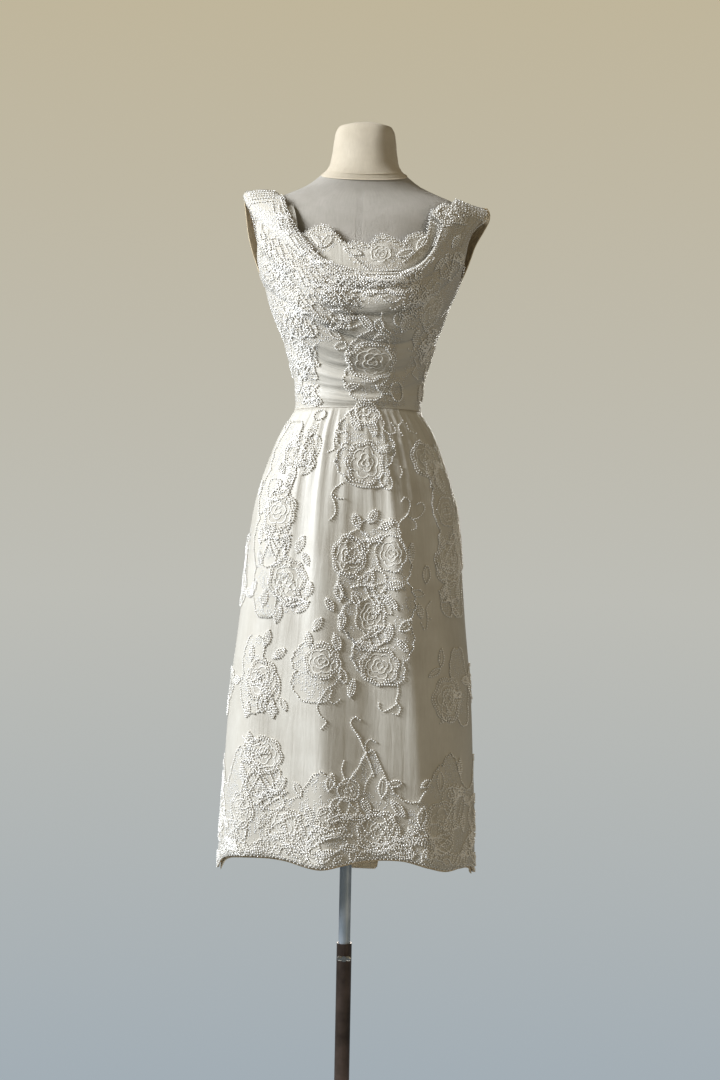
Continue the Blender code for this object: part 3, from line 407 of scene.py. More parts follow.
# %% Mesh helpers
def grid_triangles(rows, columns, first=0, wrap=False):
    """Two triangles for each cell of a grid of points, counter-clockwise seen from outside."""
    across = columns if wrap else columns - 1
    row, column = np.meshgrid(np.arange(rows - 1), np.arange(across), indexing="ij")
    a, b = row * columns + column, row * columns + (column + 1) % columns
    c, d = b + columns, a + columns
    return first + np.stack([a, b, c, a, c, d], axis=-1).reshape(-1, 3)


def put(name, points, triangles, material, body, uv=None, merge=False):
    """A mesh object from arrays of points and triangles, shaded smooth, riding on a body of the model."""
    mesh = bpy.data.meshes.new(name)
    mesh.vertices.add(len(points))
    mesh.vertices.foreach_set("co", np.asarray(points, np.float32).ravel())
    mesh.loops.add(triangles.size)
    mesh.loops.foreach_set("vertex_index", triangles.astype(np.int32).ravel())
    mesh.polygons.add(len(triangles))
    mesh.polygons.foreach_set("loop_start", np.arange(len(triangles), dtype=np.int32) * 3)
    mesh.update(calc_edges=True)
    if uv is not None:
        layer = mesh.uv_layers.new(name="cloth")
        layer.data.foreach_set("uv", np.asarray(uv, np.float32)[triangles.ravel()].ravel())
    if merge:
        shape = bmesh.new()
        shape.from_mesh(mesh)
        bmesh.ops.remove_doubles(shape, verts=shape.verts, dist=1e-6)
        shape.to_mesh(mesh)
        shape.free()
    mesh.validate()
    mesh.shade_smooth()
    mesh.materials.append(material)
    made = bpy.data.objects.new(name, mesh)
    bpy.context.scene.collection.objects.link(made)
    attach(made, body)
    return made


def rim(outer, inner):
    """Triangles between an outer edge and an inner one that has every second of its points."""
    o0, o1, o2 = outer[:-2:2], outer[1:-1:2], outer[2::2]
    i0, i1 = inner[:-1], inner[1:]
    return np.concatenate([np.stack(t, axis=1) for t in ((o0, i0, o1), (o1, i0, i1), (o1, i1, o2))])


def edges(rows, columns, first):
    """The indices of a grid's four edges, going round once: foot, right, top and left."""
    at = first + np.arange(rows * columns).reshape(rows, columns)
    return [at[0], at[:, -1], at[-1, ::-1], at[::-1, 0]]


def volume(points, triangles):
    """The signed volume inside a closed mesh: above zero only where its faces point outwards."""
    a, b, c = (points[triangles[:, i]] for i in range(3))
    return float((a * np.cross(b, c)).sum() / 6)


places = {}  # azimuths and heights of every point of each shell, by its name
DRAPE_FLAT = (.37, .50)  # height and length of the draped front laid flat, for its weave


def shell(name, azimuth, height, thickness, material, lift=0.0, share=.8, inside=None, outer_share=1.0,
          turned=False):
    """A closed wall of cloth over a grid of azimuths and heights with odd numbers of rows and columns.
    Its inner face and rim may have a finish of their own, as where a lining is sewn in. A turned piece
    has its fine creases along its rows, and any other one along its columns."""
    outer = cloth(azimuth, height, lift, outer_share)
    coarse = azimuth[::2, ::2], height[::2, ::2]
    inner = cloth(*coarse, lift - thickness, share)
    rows, columns = azimuth.shape
    start = rows * columns
    triangles = [grid_triangles(rows, columns), grid_triangles(*coarse[0].shape, start)[:, ::-1]]
    for out_edge, in_edge in zip(edges(rows, columns, 0), edges(*coarse[0].shape, start)):
        triangles.append(rim(out_edge, in_edge))
    points = np.concatenate([outer.reshape(-1, 3), inner.reshape(-1, 3)])
    triangles = np.concatenate(triangles)
    metres = np.stack([azimuth * .0026, height], axis=-1)
    if turned:
        down, along = np.linspace(0, DRAPE_FLAT[0], rows), np.linspace(0, DRAPE_FLAT[1], columns)
        metres = np.stack(np.meshgrid(down, along, indexing="ij"), -1)
    uv = np.concatenate([metres.reshape(-1, 2), metres[::2, ::2].reshape(-1, 2)])
    made = put(name, points, triangles, material, "figure", uv)
    places[name] = np.concatenate([np.stack([azimuth, height], -1).reshape(-1, 2),
                                   np.stack(coarse, -1).reshape(-1, 2)])
    if inside:
        made.data.materials.append(inside)
        finishes = np.zeros(len(triangles), np.int32)
        finishes[2 * (rows - 1) * (columns - 1):] = 1
        made.data.polygons.foreach_set("material_index", finishes)
    a, b, c = (points[triangles[:, i]] for i in range(3))
    area = np.linalg.norm(np.cross(b - a, c - a), axis=1).sum() / 4  # of one face of the cloth
    size = round(volume(points, triangles) * 1e6)
    print(name, len(triangles), "triangles,", size, "cubic cm,", area.round(3), "m2")
    return made


print("mesh helpers ready")

# %% [markdown]
# ## Finishes
# A photograph shows more of a finish than its colour: silk has slubs and a soft shine, lace is matt
# cotton thread, glass pearls are glossy, linen is a dry weave, and the two metals are one bright and
# one dark. Each material below starts from what the real one is, and its pattern from a thread's size.


# %% Material helpers
def colour(code, alpha=1.0):
    """An sRGB hex code as the linear colour that shaders use."""
    srgb = np.array([int(code[i:i + 2], 16) for i in (1, 3, 5)]) / 255
    linear = np.where(srgb <= .04045, srgb / 12.92, ((srgb + .055) / 1.055) ** 2.4)
    return (*[float(v) for v in linear], alpha)


def node(tree, kind, settings=None, **links):
    """A node of that kind. A socket's name takes a value, or a link from another node's output."""
    made = tree.nodes.new(kind)
    for key, value in (settings or {}).items():
        setattr(made, key, value)
    for socket, value in links.items():
        target = made.inputs[int(socket[1:])] if socket[0] == "_" else made.inputs[socket.replace("_", " ")]
        if isinstance(value, bpy.types.NodeSocket):
            tree.links.new(value, target)
        else:
            target.default_value = value
    return made


def finish(name, roughness, **sockets):
    """A new Principled material: returns it, its tree and its shader."""
    made = bpy.data.materials.new(name)
    made.use_nodes = True
    shader = made.node_tree.nodes["Principled BSDF"]
    shader.inputs["Roughness"].default_value = roughness
    for socket, value in sockets.items():
        shader.inputs[socket.replace("_", " ")].default_value = value
    return made, made.node_tree, shader


def ramp(tree, factor, *stops):
    """A colour ramp through (place, colour) stops."""
    made = node(tree, "ShaderNodeValToRGB", _0=factor)
    while len(made.color_ramp.elements) < len(stops):
        made.color_ramp.elements.new(.5)
    for element, (place, shade) in zip(made.color_ramp.elements, stops):
        element.position, element.color = place, shade
    return made.outputs["Color"]


print("material helpers ready")


# %% Silk organza over its lining
def woven(tree, thread, place="UV", slubs=(300, 25)):
    """Two crossed wave patterns, a thread apart, and streaks along the warp: returns both heights."""
    where = node(tree, "ShaderNodeTexCoord").outputs[place]
    cycles = 2 * math.pi / (20 * thread)
    warp, weft = (node(tree, "ShaderNodeTexWave", {"bands_direction": way}, Vector=where, Scale=cycles,
                       Distortion=.6).outputs["Fac"] for way in "XY")
    cross = node(tree, "ShaderNodeMath", {"operation": "MULTIPLY"}, _0=warp, _1=weft)
    long = node(tree, "ShaderNodeMapping", Vector=where, Scale=(slubs[0], slubs[1], slubs[1]))
    slub = node(tree, "ShaderNodeTexNoise", Vector=long.outputs["Vector"], Scale=1.0, Detail=3.0)
    return cross.outputs[0], slub.outputs["Fac"]


def beaded(tree, place):
    """Small dots side by side, about 3 mm apart, each 1 at its middle and 0 between: seed beads on net."""
    cells = node(tree, "ShaderNodeTexVoronoi", {"feature": "F1"}, Vector=place, Scale=300.0, Randomness=.65)
    return node(tree, "ShaderNodeMapRange", {"interpolation_type": "SMOOTHSTEP"},
                Value=cells.outputs["Distance"], _1=.14, _2=.50, _3=1.0, _4=0.0).outputs["Result"]


def silk_finish(name, light, deep, thread=.0009, roughness=.46):
    """Woven silk. Its colour drifts between two ivories where the lining shows through it more or less.
    Real organza threads are a fifth of a millimetre apart; they are drawn at 0.9 mm so that they show at
    all. Fine creases, a centimetre apart and fourteen times as long, run along the piece's own folds.
    Where the attribute named lace is high, seed beads on net cover the silk, with a torn edge."""
    made, tree, shader = finish(name, roughness, Sheen_Weight=.12, Sheen_Roughness=.4, IOR=1.50)
    cross, slub = woven(tree, thread)
    place = node(tree, "ShaderNodeTexCoord").outputs["Object"]
    drift = node(tree, "ShaderNodeTexNoise", Vector=place, Scale=9.0, Detail=4.0, Roughness=.6)
    blend = node(tree, "ShaderNodeMath", {"operation": "MULTIPLY_ADD"}, _0=slub, _1=.22,
                 _2=drift.outputs["Fac"])
    shade = ramp(tree, blend.outputs[0], (.38, colour(deep)), (.78, colour(light)))
    height = node(tree, "ShaderNodeMath", {"operation": "MULTIPLY_ADD"}, _0=slub, _1=1.6, _2=cross)
    weave = node(tree, "ShaderNodeBump", Strength=.22, Distance=.0006, Height=height.outputs[0])
    flat = node(tree, "ShaderNodeTexCoord").outputs["UV"]
    along = node(tree, "ShaderNodeMapping", Scale=(100, 7, 1), Vector=flat).outputs["Vector"]
    crease = node(tree, "ShaderNodeTexNoise", Vector=along, Scale=1.0, Detail=3.0, Distortion=.5)
    creased = node(tree, "ShaderNodeBump", Strength=.45, Distance=.0030, Height=crease.outputs["Fac"],
                   Normal=weave.outputs["Normal"])
    density = node(tree, "ShaderNodeAttribute", {"attribute_name": "lace"}).outputs["Fac"]
    torn = node(tree, "ShaderNodeTexNoise", Vector=place, Scale=70.0, Detail=4.0)
    both = node(tree, "ShaderNodeMath", {"operation": "ADD"}, _0=density, _1=torn.outputs["Fac"])
    covered = node(tree, "ShaderNodeMapRange", Value=both.outputs[0], _1=1.02, _2=1.16).outputs["Result"]
    dots = beaded(tree, place)
    lace = ramp(tree, dots, (.10, colour("#C3BDB0")), (.62, colour("#FCFBF8")))
    mixed = node(tree, "ShaderNodeMix", {"data_type": "RGBA"}, _0=covered, _6=shade, _7=lace)
    tree.links.new(mixed.outputs[2], shader.inputs["Base Color"])
    raised = node(tree, "ShaderNodeMath", {"operation": "MULTIPLY"}, _0=covered, _1=dots)
    bump = node(tree, "ShaderNodeBump", Strength=1.0, Distance=.0016, Height=raised.outputs[0],
                Normal=creased.outputs["Normal"])
    tree.links.new(bump.outputs["Normal"], shader.inputs["Normal"])
    return made


SILK = silk_finish("ivory_silk_organza_over_satin", "#CFCBC0", "#B8B2A5")
LINING = silk_finish("beige_acetate_satin_lining", "#D6C5A4", "#BDA680", roughness=.40)
print(SILK.name, LINING.name)


# %% Lace, cord and pearls
def thread_finish(name, light, deep, scale, roughness, bump_strength):
    """Cotton and rayon thread: a fine irregular surface, lighter on the threads than between them."""
    made, tree, shader = finish(name, roughness, Sheen_Weight=.25, Sheen_Roughness=.5)
    place = node(tree, "ShaderNodeTexCoord").outputs["Object"]
    cells = node(tree, "ShaderNodeTexVoronoi", {"feature": "F1"}, Vector=place, Scale=scale)
    patches = node(tree, "ShaderNodeTexNoise", Vector=place, Scale=scale / 14, Detail=3.0)
    mixed = node(tree, "ShaderNodeMath", {"operation": "MULTIPLY_ADD"}, _0=cells.outputs["Distance"], _1=.5,
                 _2=patches.outputs["Fac"])
    shade = ramp(tree, mixed.outputs[0], (.45, colour(light)), (.95, colour(deep)))
    tree.links.new(shade, shader.inputs["Base Color"])
    bump = node(tree, "ShaderNodeBump", {"invert": True}, Strength=bump_strength, Distance=.0006,
                Height=cells.outputs["Distance"])
    tree.links.new(bump.outputs["Normal"], shader.inputs["Normal"])
    return made


# Embroidered lace ground: knots of cotton about 1.4 mm apart. Satin cord: smoother, with a soft shine.
LACE = thread_finish("white_cotton_guipure_lace", "#D9D5CB", "#B7B1A4", 700, .72, .7)
CORD = thread_finish("ivory_rayon_satin_cord", "#F4F2EC", "#DAD6CB", 1400, .38, .35)


def pearl_finish(name, light, deep):
    """Glass pearls: a milky body under a clear coat, each a little warmer or cooler than the next."""
    made, tree, shader = finish(name, .22, Coat_Weight=.8, Coat_Roughness=.08, IOR=1.55)
    place = node(tree, "ShaderNodeTexCoord").outputs["Object"]
    tint = node(tree, "ShaderNodeTexWhiteNoise", Vector=node(
        tree, "ShaderNodeVectorMath", {"operation": "SNAP"}, _0=place, _1=(.0022, .0022, .0022)).outputs[0])
    tree.links.new(ramp(tree, tint.outputs["Value"], (0, colour(light)), (1, colour(deep))),
                   shader.inputs["Base Color"])
    return made


PEARL = pearl_finish("milky_glass_pearl_beads", "#FFFEFB", "#F1EDE4")
print(LACE.name, CORD.name, PEARL.name)


# %% Linen and metals
NECK_SEAM_Z, NECK_SLANT = 1.7175, .445  # the neck seam's height at the sides, and its rise to the back


def linen_finish():
    """Stretched linen: dry crossed threads 1 mm apart, with slubs and a little handling dirt. Above the
    slanted plane of the neck's seam it is a paler cream cloth."""
    made, tree, shader = finish("stretched_natural_linen", .88, Sheen_Weight=.2, Sheen_Roughness=.6)
    cross, slub = woven(tree, .0010, slubs=(500, 60))
    place = node(tree, "ShaderNodeTexCoord").outputs["Object"]
    dirt = node(tree, "ShaderNodeTexNoise", Vector=place, Scale=14.0, Detail=5.0, Roughness=.65)
    mixed = node(tree, "ShaderNodeMath", {"operation": "MULTIPLY_ADD"}, _0=slub, _1=.4,
                 _2=dirt.outputs["Fac"])
    grey = ramp(tree, mixed.outputs[0], (.45, colour("#9D978B")), (.90, colour("#B4AEA4")))
    cream = ramp(tree, mixed.outputs[0], (.45, colour("#C2B59D")), (.90, colour("#D9CDB7")))
    spot = node(tree, "ShaderNodeSeparateXYZ", Vector=place)
    level = node(tree, "ShaderNodeMath", {"operation": "MULTIPLY_ADD"}, _0=spot.outputs["Y"], _1=-NECK_SLANT,
                 _2=spot.outputs["Z"])
    on_neck = node(tree, "ShaderNodeMapRange", Value=level.outputs[0], _1=NECK_SEAM_Z - .0004,
                   _2=NECK_SEAM_Z + .0004).outputs["Result"]
    shade = node(tree, "ShaderNodeMix", {"data_type": "RGBA"}, _0=on_neck, _6=grey, _7=cream)
    tree.links.new(shade.outputs[2], shader.inputs["Base Color"])
    height = node(tree, "ShaderNodeMath", {"operation": "ADD"}, _0=cross, _1=slub)
    bump = node(tree, "ShaderNodeBump", Strength=.60, Distance=.0007, Height=height.outputs[0])
    tree.links.new(bump.outputs["Normal"], shader.inputs["Normal"])
    return made


def metal_finish(name, light, deep, rough, stretch, strength, metallic=1.0):
    """Metal with marks stretched along the pole: drawn or brushed lines, and worn patches in the gloss."""
    made, tree, shader = finish(name, rough[0], Metallic=metallic)
    place = node(tree, "ShaderNodeTexCoord").outputs["Object"]
    along = node(tree, "ShaderNodeMapping", Vector=place, Scale=stretch)
    lines = node(tree, "ShaderNodeTexNoise", Vector=along.outputs["Vector"], Scale=1.0, Detail=4.0)
    worn = node(tree, "ShaderNodeTexNoise", Vector=place, Scale=26.0, Detail=5.0)
    tree.links.new(ramp(tree, worn.outputs["Fac"], (.35, colour(deep)), (.65, colour(light))),
                   shader.inputs["Base Color"])
    gloss = node(tree, "ShaderNodeMapRange", Value=lines.outputs["Fac"], _3=rough[0], _4=rough[1])
    tree.links.new(gloss.outputs["Result"], shader.inputs["Roughness"])
    bump = node(tree, "ShaderNodeBump", Strength=strength, Distance=.0002, Height=lines.outputs["Fac"])
    tree.links.new(bump.outputs["Normal"], shader.inputs["Normal"])
    return made


LINEN = linen_finish()
# The steel and the lacquer are worn satin and give back more of the room than a mirror would.
STEEL = metal_finish("brushed_steel_rod", "#C6D0D9", "#A3B0BC", (.34, .50), (900, 900, 12), .25, .60)
BRONZE = metal_finish("dark_lacquered_bronze_tube", "#64564E", "#3F3630", (.26, .42), (500, 500, 20), .15,
                      .70)
PLATE = metal_finish("bright_nickel_plate", "#D8D8D4", "#A9A9A5", (.14, .26), (300, 300, 300), .10)
for name, finish_of_it in (("rod", STEEL), ("form_flange", STEEL), ("tube", BRONZE), ("base", BRONZE),
                           ("wing_screw", PLATE)):
    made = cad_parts[name]
    made.data.materials.clear()
    made.data.materials.append(finish_of_it)
print("metals on the stand")

# %% [markdown]
# ## The panels of the dress
# A dress is cut as flat panels, and each is one piece here too: the draped front, the plain back, and
# the front and back of the gathered skirt. Their grids run along their own folds, so that a crease is
# a row of points and stays sharp without a very fine mesh.


# %% The draped front
BODICE_THICKNESS, SKIRT_THICKNESS, LINING_THICKNESS, INSET_THICKNESS = .0014, .0013, .0009, .0011


def front_grid(columns, rows_in_roll):
    """Rows run along the creases, closer together towards each roll's lower edge; the side edges follow
    the armholes on one smooth curve."""
    across = np.linspace(0, 1, columns)
    lines = drape_lines(across)
    rows = []
    for upper, lower in zip(lines, lines[1:]):
        for t in np.linspace(0, 1, rows_in_roll, endpoint=False):
            rows.append(upper + (lower - upper) * (1 - (1 - t) ** 1.5))
    grid = np.array((rows + [lines[-1]])[::-1])
    for column, side in ((0, -1), (-1, 1)):
        ends = np.array([[line[column, 1], line[column, 0]] for line in lines[::-1]])
        wanted = smooth(ends, grid[:, column, 1])[:, 0]
        near = ease(1 - np.abs(across - across[column]) / .10, 0, 1)
        grid[..., 0] += (wanted - grid[:, column, 0])[:, None] * near
    trim = .0004 * (grid[:, -1, 0] - grid[:, 0, 0])
    grid[:, 0, 0] += trim
    grid[:, -1, 0] -= trim
    return grid[..., 0], grid[..., 1]


draped_front = shell("draped_bodice_front", *front_grid(225, 18), BODICE_THICKNESS, SILK, inside=LINING,
                     turned=True)
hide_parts("bodice_front")


# %% The plain back
BACK_NECK_DROP, BACK_STRAP = .090, .16  # the neckline's depth, and a strap's share of the top edge


def back_neck(share):
    """Height of the scooped neckline by the share of the way across it: a sine to the power .8."""
    return SHOULDER_Z - BACK_NECK_DROP * np.sin(np.pi * share) ** .8


def back_grid(columns, rows):
    """A patch inside four edges: the waist, the scooped top edge with its two straps, and the armholes.
    Opposite edges are blended across the patch, less the blend of its corners."""
    across, up = np.linspace(0, 1, columns), np.linspace(0, 1, rows)
    inside = np.clip((across - BACK_STRAP) / (1 - 2 * BACK_STRAP), 0, 1)
    on_strap = np.clip(np.minimum(across, 1 - across) / BACK_STRAP, 0, 1)
    azimuth = 100 + 32 * on_strap + 96 * np.minimum(inside, 1 - inside)
    azimuth = np.where(across < .5, azimuth, 360 - azimuth)
    top = np.stack([azimuth, back_neck(inside)], axis=-1)
    bottom = np.stack([90 + 180 * across, np.full(columns, WAIST_Z + SEAM_GAP)], axis=-1)
    side_z = WAIST_Z + (SHOULDER_Z - WAIST_Z) * up
    armhole = 10 * ease(side_z, UNDERARM_Z, UNDERARM_Z + .060)
    left, right = np.stack([90 + armhole, side_z], -1), np.stack([270 - armhole, side_z], -1)
    u, v = across[None, :, None], up[:, None, None]
    corners = (1 - v) * ((1 - u) * bottom[0] + u * bottom[-1]) + v * ((1 - u) * top[0] + u * top[-1])
    grid = (1 - v) * bottom[None] + v * top[None] + (1 - u) * left[:, None] + u * right[:, None] - corners
    return grid[..., 0], grid[..., 1]


plain_back = shell("plain_bodice_back", *back_grid(121, 71), BODICE_THICKNESS, SILK, inside=LINING)
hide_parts("bodice_back")

# %% The skirt
HEM_EDGE = np.array([  # azimuth, height of the hem
    (-95, .538), (-88, .536), (-72, .560), (-45, .577), (-26, .577), (-9, .567), (4, .578), (15, .582),
    (24, .580), (36, .568), (48, .558), (62, .558), (76, .553), (88, .536), (92, .536), (115, .560),
    (180, .566), (245, .560), (268, .536), (275, .538)])


def skirt_grid(first, columns, rows, foot, top=WAIST_Z - SEAM_GAP):
    """Half the skirt from its hem's edge up, its rows closer together towards the waist."""
    azimuth = np.linspace(first + .05, first + 179.95, columns)
    low = foot(azimuth)
    up = np.linspace(0, 1, rows)[:, None] ** .80
    height = low + (top - low) * up
    return np.broadcast_to(azimuth, height.shape).copy(), height


def hem(azimuth):
    """The hem's height: it dips at the side seams and swings a little between its waves."""
    return smooth(HEM_EDGE, azimuth)[..., 0]


skirt_front = shell("gathered_skirt_front", *skirt_grid(-90, 191, 91, hem), SKIRT_THICKNESS, SILK, share=.7,
                    inside=LINING)
skirt_back = shell("gathered_skirt_back", *skirt_grid(90, 191, 91, hem), SKIRT_THICKNESS, SILK, share=.7,
                   inside=LINING)
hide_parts("skirt_front")
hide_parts("skirt_back")


# %% The lining's hem
LINING_TOP_Z, LINING_LIFT, FLAP_Z = .612, -.0050, .506


def lining_foot(azimuth):
    """The lining's edge: 4 mm under the hem, and lower where a flap of it hangs at the back."""
    edge = hem(azimuth) - .004 * side_fade(azimuth)
    flap = ease(azimuth, 164, 167) * (1 - ease(azimuth, 178, 181))
    return edge + (FLAP_Z - edge) * flap


lining_front = shell("lining_hem_front", *skirt_grid(-90, 161, 9, lining_foot, LINING_TOP_Z),
                     LINING_THICKNESS, LINING, LINING_LIFT, 1.0)
lining_back = shell("lining_hem_back", *skirt_grid(90, 161, 9, lining_foot, LINING_TOP_Z),
                    LINING_THICKNESS, LINING, LINING_LIFT, 1.0)
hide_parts("hem_lining_front")
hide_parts("hem_lining_back")

# %% [markdown]
# ## The inset of the neckline
# Inside the cowl a strip of satin and lace is sewn to the lining. Its top edge is scalloped and shows
# above the cowl; its foot is hidden behind the cowl's roll.

# %% The neckline inset
INSET_EDGE = np.array([  # x, z of the scalloped edge in the front view
    (-.134, 1.672), (-.120, 1.655), (-.104, 1.634), (-.100, 1.606), (-.090, 1.600), (-.076, 1.608),
    (-.046, 1.610), (-.030, 1.590), (-.018, 1.580), (-.004, 1.584), (.008, 1.582), (.022, 1.580),
    (.032, 1.594), (.050, 1.596), (.066, 1.588), (.074, 1.584), (.086, 1.598), (.106, 1.605),
    (.118, 1.612), (.121, 1.634), (.134, 1.652), (.154, 1.668)])
INSET_LIFT = -.0054


def inset_top(x):
    """The scalloped edge's height: a cubic through its table, plus rounded scallops 13 mm across."""
    return smooth(INSET_EDGE, x)[..., 0] + .0030 * (np.abs(np.sin(np.pi * x / .013)) ** .7 - .5)


def inset_grid(columns, rows):
    """From behind the cowl's edge up to the scalloped edge."""
    x = np.linspace(INSET_EDGE[0, 0], INSET_EDGE[-1, 0], columns)
    top = inset_top(x)
    foot = np.interp(x, *TOP_EDGE.T) - .014
    up = np.linspace(0, 1, rows)[:, None]
    height = foot + np.maximum(top - foot, .014) * up
    return azimuth_at(np.broadcast_to(x, height.shape), height), height


# The inset lies behind the smooth figure, without the drape's relief.
neckline_inset = shell("neckline_inset", *inset_grid(241, 19), INSET_THICKNESS, SILK, INSET_LIFT, 0.0,
                       outer_share=0.0)
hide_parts("neck_yoke")


# %% [markdown]
# ## The dress form
# The form is a limbless torso of padded board under stretched linen. One smooth surface of revolution
# would be wrong, since it is wider than deep, so it uses the same superellipse sections, with shallow
# grooves for its seams at the sides and the back. The neck is covered with a cloth of its own, and a
# thin piping and a line of stitches go round its foot, lower in front than behind.

# %% The dress form
def form_body(columns=112, rows=110):
    """The form's sections lofted by their cubic, closed by a point at the foot and on top."""
    levels = FORM[0, 0] + (FORM[-1, 0] - FORM[0, 0]) * np.linspace(0, 1, rows) ** .9
    azimuth, height = np.meshgrid(np.arange(columns) * 360 / columns, levels)
    points = figure(FORM, azimuth, height)
    points[..., 1] -= bust(points)
    middle = np.stack([LEAN * (height - LEAN_FROM_Z), 0 * height, height], axis=-1)
    away = points - middle
    away /= np.linalg.norm(away, axis=-1, keepdims=True)
    groove = sum(hump((azimuth - at + 180) % 360 - 180, .8) for at in (90, 180, 270)) * .0007
    points = points - away * groove[..., None]
    lowest, top = middle[0, 0], middle[-1, 0] + np.array([0, 0, .001])
    rings = points.reshape(-1, 3)
    triangles = [grid_triangles(rows, columns, wrap=True)]
    step = np.arange(columns)
    after = (step + 1) % columns
    triangles.append(np.stack([after, step, np.full(columns, len(rings))], axis=1))
    last = (rows - 1) * columns
    triangles.append(np.stack([last + step, last + after, np.full(columns, len(rings) + 1)], axis=1))
    uv = np.concatenate([np.stack([azimuth * .0022, height], -1).reshape(-1, 2), [(0, 1.0), (0, 1.8)]])
    points = np.concatenate([rings, [lowest, top]])
    triangles = np.concatenate(triangles)
    made = put("linen_dress_form", points, triangles, LINEN, "figure", uv)
    print(made.name, len(triangles), "triangles, volume", round(volume(points, triangles) * 1e3, 1), "litres")
    return made


form_piece = form_body()
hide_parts("dress_form")


def neck_seam(name, above, radius, count=160, sides=6):
    """A thin round cord on the form where the slanted plane of the neck's seam, raised by a distance,
    cuts it: each of its heights is found again from its own place in depth, four times."""
    azimuth, height = np.linspace(0, 360, count + 1), np.full(count + 1, NECK_SEAM_Z)
    for _ in range(4):
        height = NECK_SEAM_Z + above + NECK_SLANT * figure(FORM, azimuth, height)[:, 1]
    along = figure(FORM, azimuth + 1, height) - figure(FORM, azimuth - 1, height)
    normal = np.cross(along, figure(FORM, azimuth, height + .002) - figure(FORM, azimuth, height - .002))
    normal /= np.linalg.norm(normal, axis=1, keepdims=True)
    side = np.cross(along, normal)
    side /= np.linalg.norm(side, axis=1, keepdims=True)
    turn = np.arange(sides) * 2 * np.pi / sides
    around = (side[:, None] * np.cos(turn)[None, :, None]
              + normal[:, None] * (np.sin(turn) + .4)[None, :, None])
    points = (figure(FORM, azimuth, height)[:, None] + around * radius).reshape(-1, 3)
    faces = grid_triangles(count + 1, sides, wrap=True)[:, ::-1]
    print(name, len(faces), "triangles, volume", round(volume(points, faces) * 1e9), "cubic mm")
    return put(name, points, faces, LINEN, "figure", merge=True)


neck_seams = [neck_seam("neck_piping", .0005, .0010), neck_seam("neck_stitching", .0105, .0005)]

# %% [markdown]
# ## The ground of the lace
# Under the motifs lies the lace's own ground, a close net that is sewn flat on the silk. It is a thin
# shell of its own over each place where the lace is dense, with lobed edges, and it lies 0.15 mm above
# the silk and follows its folds.

# %% Ground of the lace
NET_LIFT, NET_THICKNESS = .00045, .0003
SPRAYS = [  # CAD node, azimuth and height of its top and foot, half width, lobes
    ("lace_bodice_middle", 9, 1.436, 6, 1.324, .031, 2), ("lace_front_waist", 4, 1.310, 6, 1.181, .033, 2),
    ("lace_front_centre", 11, 1.130, 14, .862, .043, 4),
    ("lace_front_hip_right", -54, 1.290, -47, .965, .042, 4),
    ("lace_front_low_right", -52, .935, -49, .808, .033, 2),
    ("lace_front_low_middle", -16, .930, -15, .832, .029, 2),
    ("lace_front_hip_left", 58, 1.255, 66, .970, .044, 4),
    ("lace_front_low_left", 61, .920, 66, .790, .034, 2),
    ("lace_back_waist", 176, 1.300, 178, 1.150, .036, 2),
    ("lace_back_centre", 186, 1.090, 184, .845, .058, 3),
    ("lace_back_hip_right", 232, 1.250, 226, .960, .046, 4),
    ("lace_back_hip_left", 126, 1.250, 132, .960, .046, 4)]


def net_finish():
    """Cotton net thick with seed beads: pale dots 3 mm apart, and darker gaps where the silk shows."""
    made, tree, shader = finish("beaded_cotton_net_ground", .42, Sheen_Weight=.1, Sheen_Roughness=.5)
    place = node(tree, "ShaderNodeTexCoord").outputs["Object"]
    dots = beaded(tree, place)
    bare = node(tree, "ShaderNodeTexNoise", Vector=place, Scale=55.0, Detail=3.0)
    sewn_over = node(tree, "ShaderNodeMapRange", Value=bare.outputs["Fac"], _1=.42, _2=.52).outputs["Result"]
    shown = node(tree, "ShaderNodeMath", {"operation": "MULTIPLY"}, _0=sewn_over, _1=dots)
    tree.links.new(ramp(tree, shown.outputs[0], (.10, colour("#C5C0B4")), (.60, colour("#FCFBF8"))),
                   shader.inputs["Base Color"])
    bump = node(tree, "ShaderNodeBump", Strength=1.0, Distance=.0016, Height=shown.outputs[0])
    tree.links.new(bump.outputs["Normal"], shader.inputs["Normal"])
    return made


NET = net_finish()


def spray_ground(row):
    """A strip from its foot up to its top, whose half width swells and sinks with each lobe."""
    node_name, top_az, top_z, foot_az, foot_z, half_width, lobes = row
    rows = 61 if top_z < WAIST_Z else 121
    t, side = np.meshgrid(np.linspace(1, 0, rows), np.linspace(-1, 1, 25), indexing="ij")
    height = top_z + (foot_z - top_z) * t
    middle = top_az + (foot_az - top_az) * t
    shift = np.where(side < 0, 0, .5)
    lobe = .60 + .40 * (.98 * np.sin(np.pi * (lobes * t + shift)) ** 2 + .02) ** .3
    swell = .30 + .70 * np.clip(np.sin(np.pi * t), 0, 1) ** .6
    picot = .0035 * np.abs(np.sin(np.pi * lobes * 4 * t)) ** .7
    radius = np.linalg.norm(dress_surface(middle, height)[..., :2], axis=-1)
    azimuth = middle + side * np.degrees((half_width * swell * lobe + picot) / radius)
    made = shell(node_name.replace("lace", "net"), azimuth, height, NET_THICKNESS, NET, NET_LIFT, 1.0)
    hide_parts(node_name)
    region = "bodice" if top_z > WAIST_Z else "skirt_" + node_name.split("_")[1]
    outlines.append((region, np.r_[azimuth[::-1, 0], azimuth[:, -1]], np.r_[height[::-1, 0], height[:, -1]]))
    return made


HEM_PEAKS = [  # azimuth, half width in degrees and height as a share, front and then back
    (-84, 8, .6), (-53, 13, .95), (-10, 9, .55), (9, 8, .95), (50, 14, .85), (84, 8, .6), (96, 8, .6),
    (128, 13, .9), (162, 10, .7), (188, 12, .95), (228, 14, .9), (264, 8, .6)]


BORDER_Z, PEAK_RISE = .660, .085  # the border's top between its peaks, and how far they rise above it


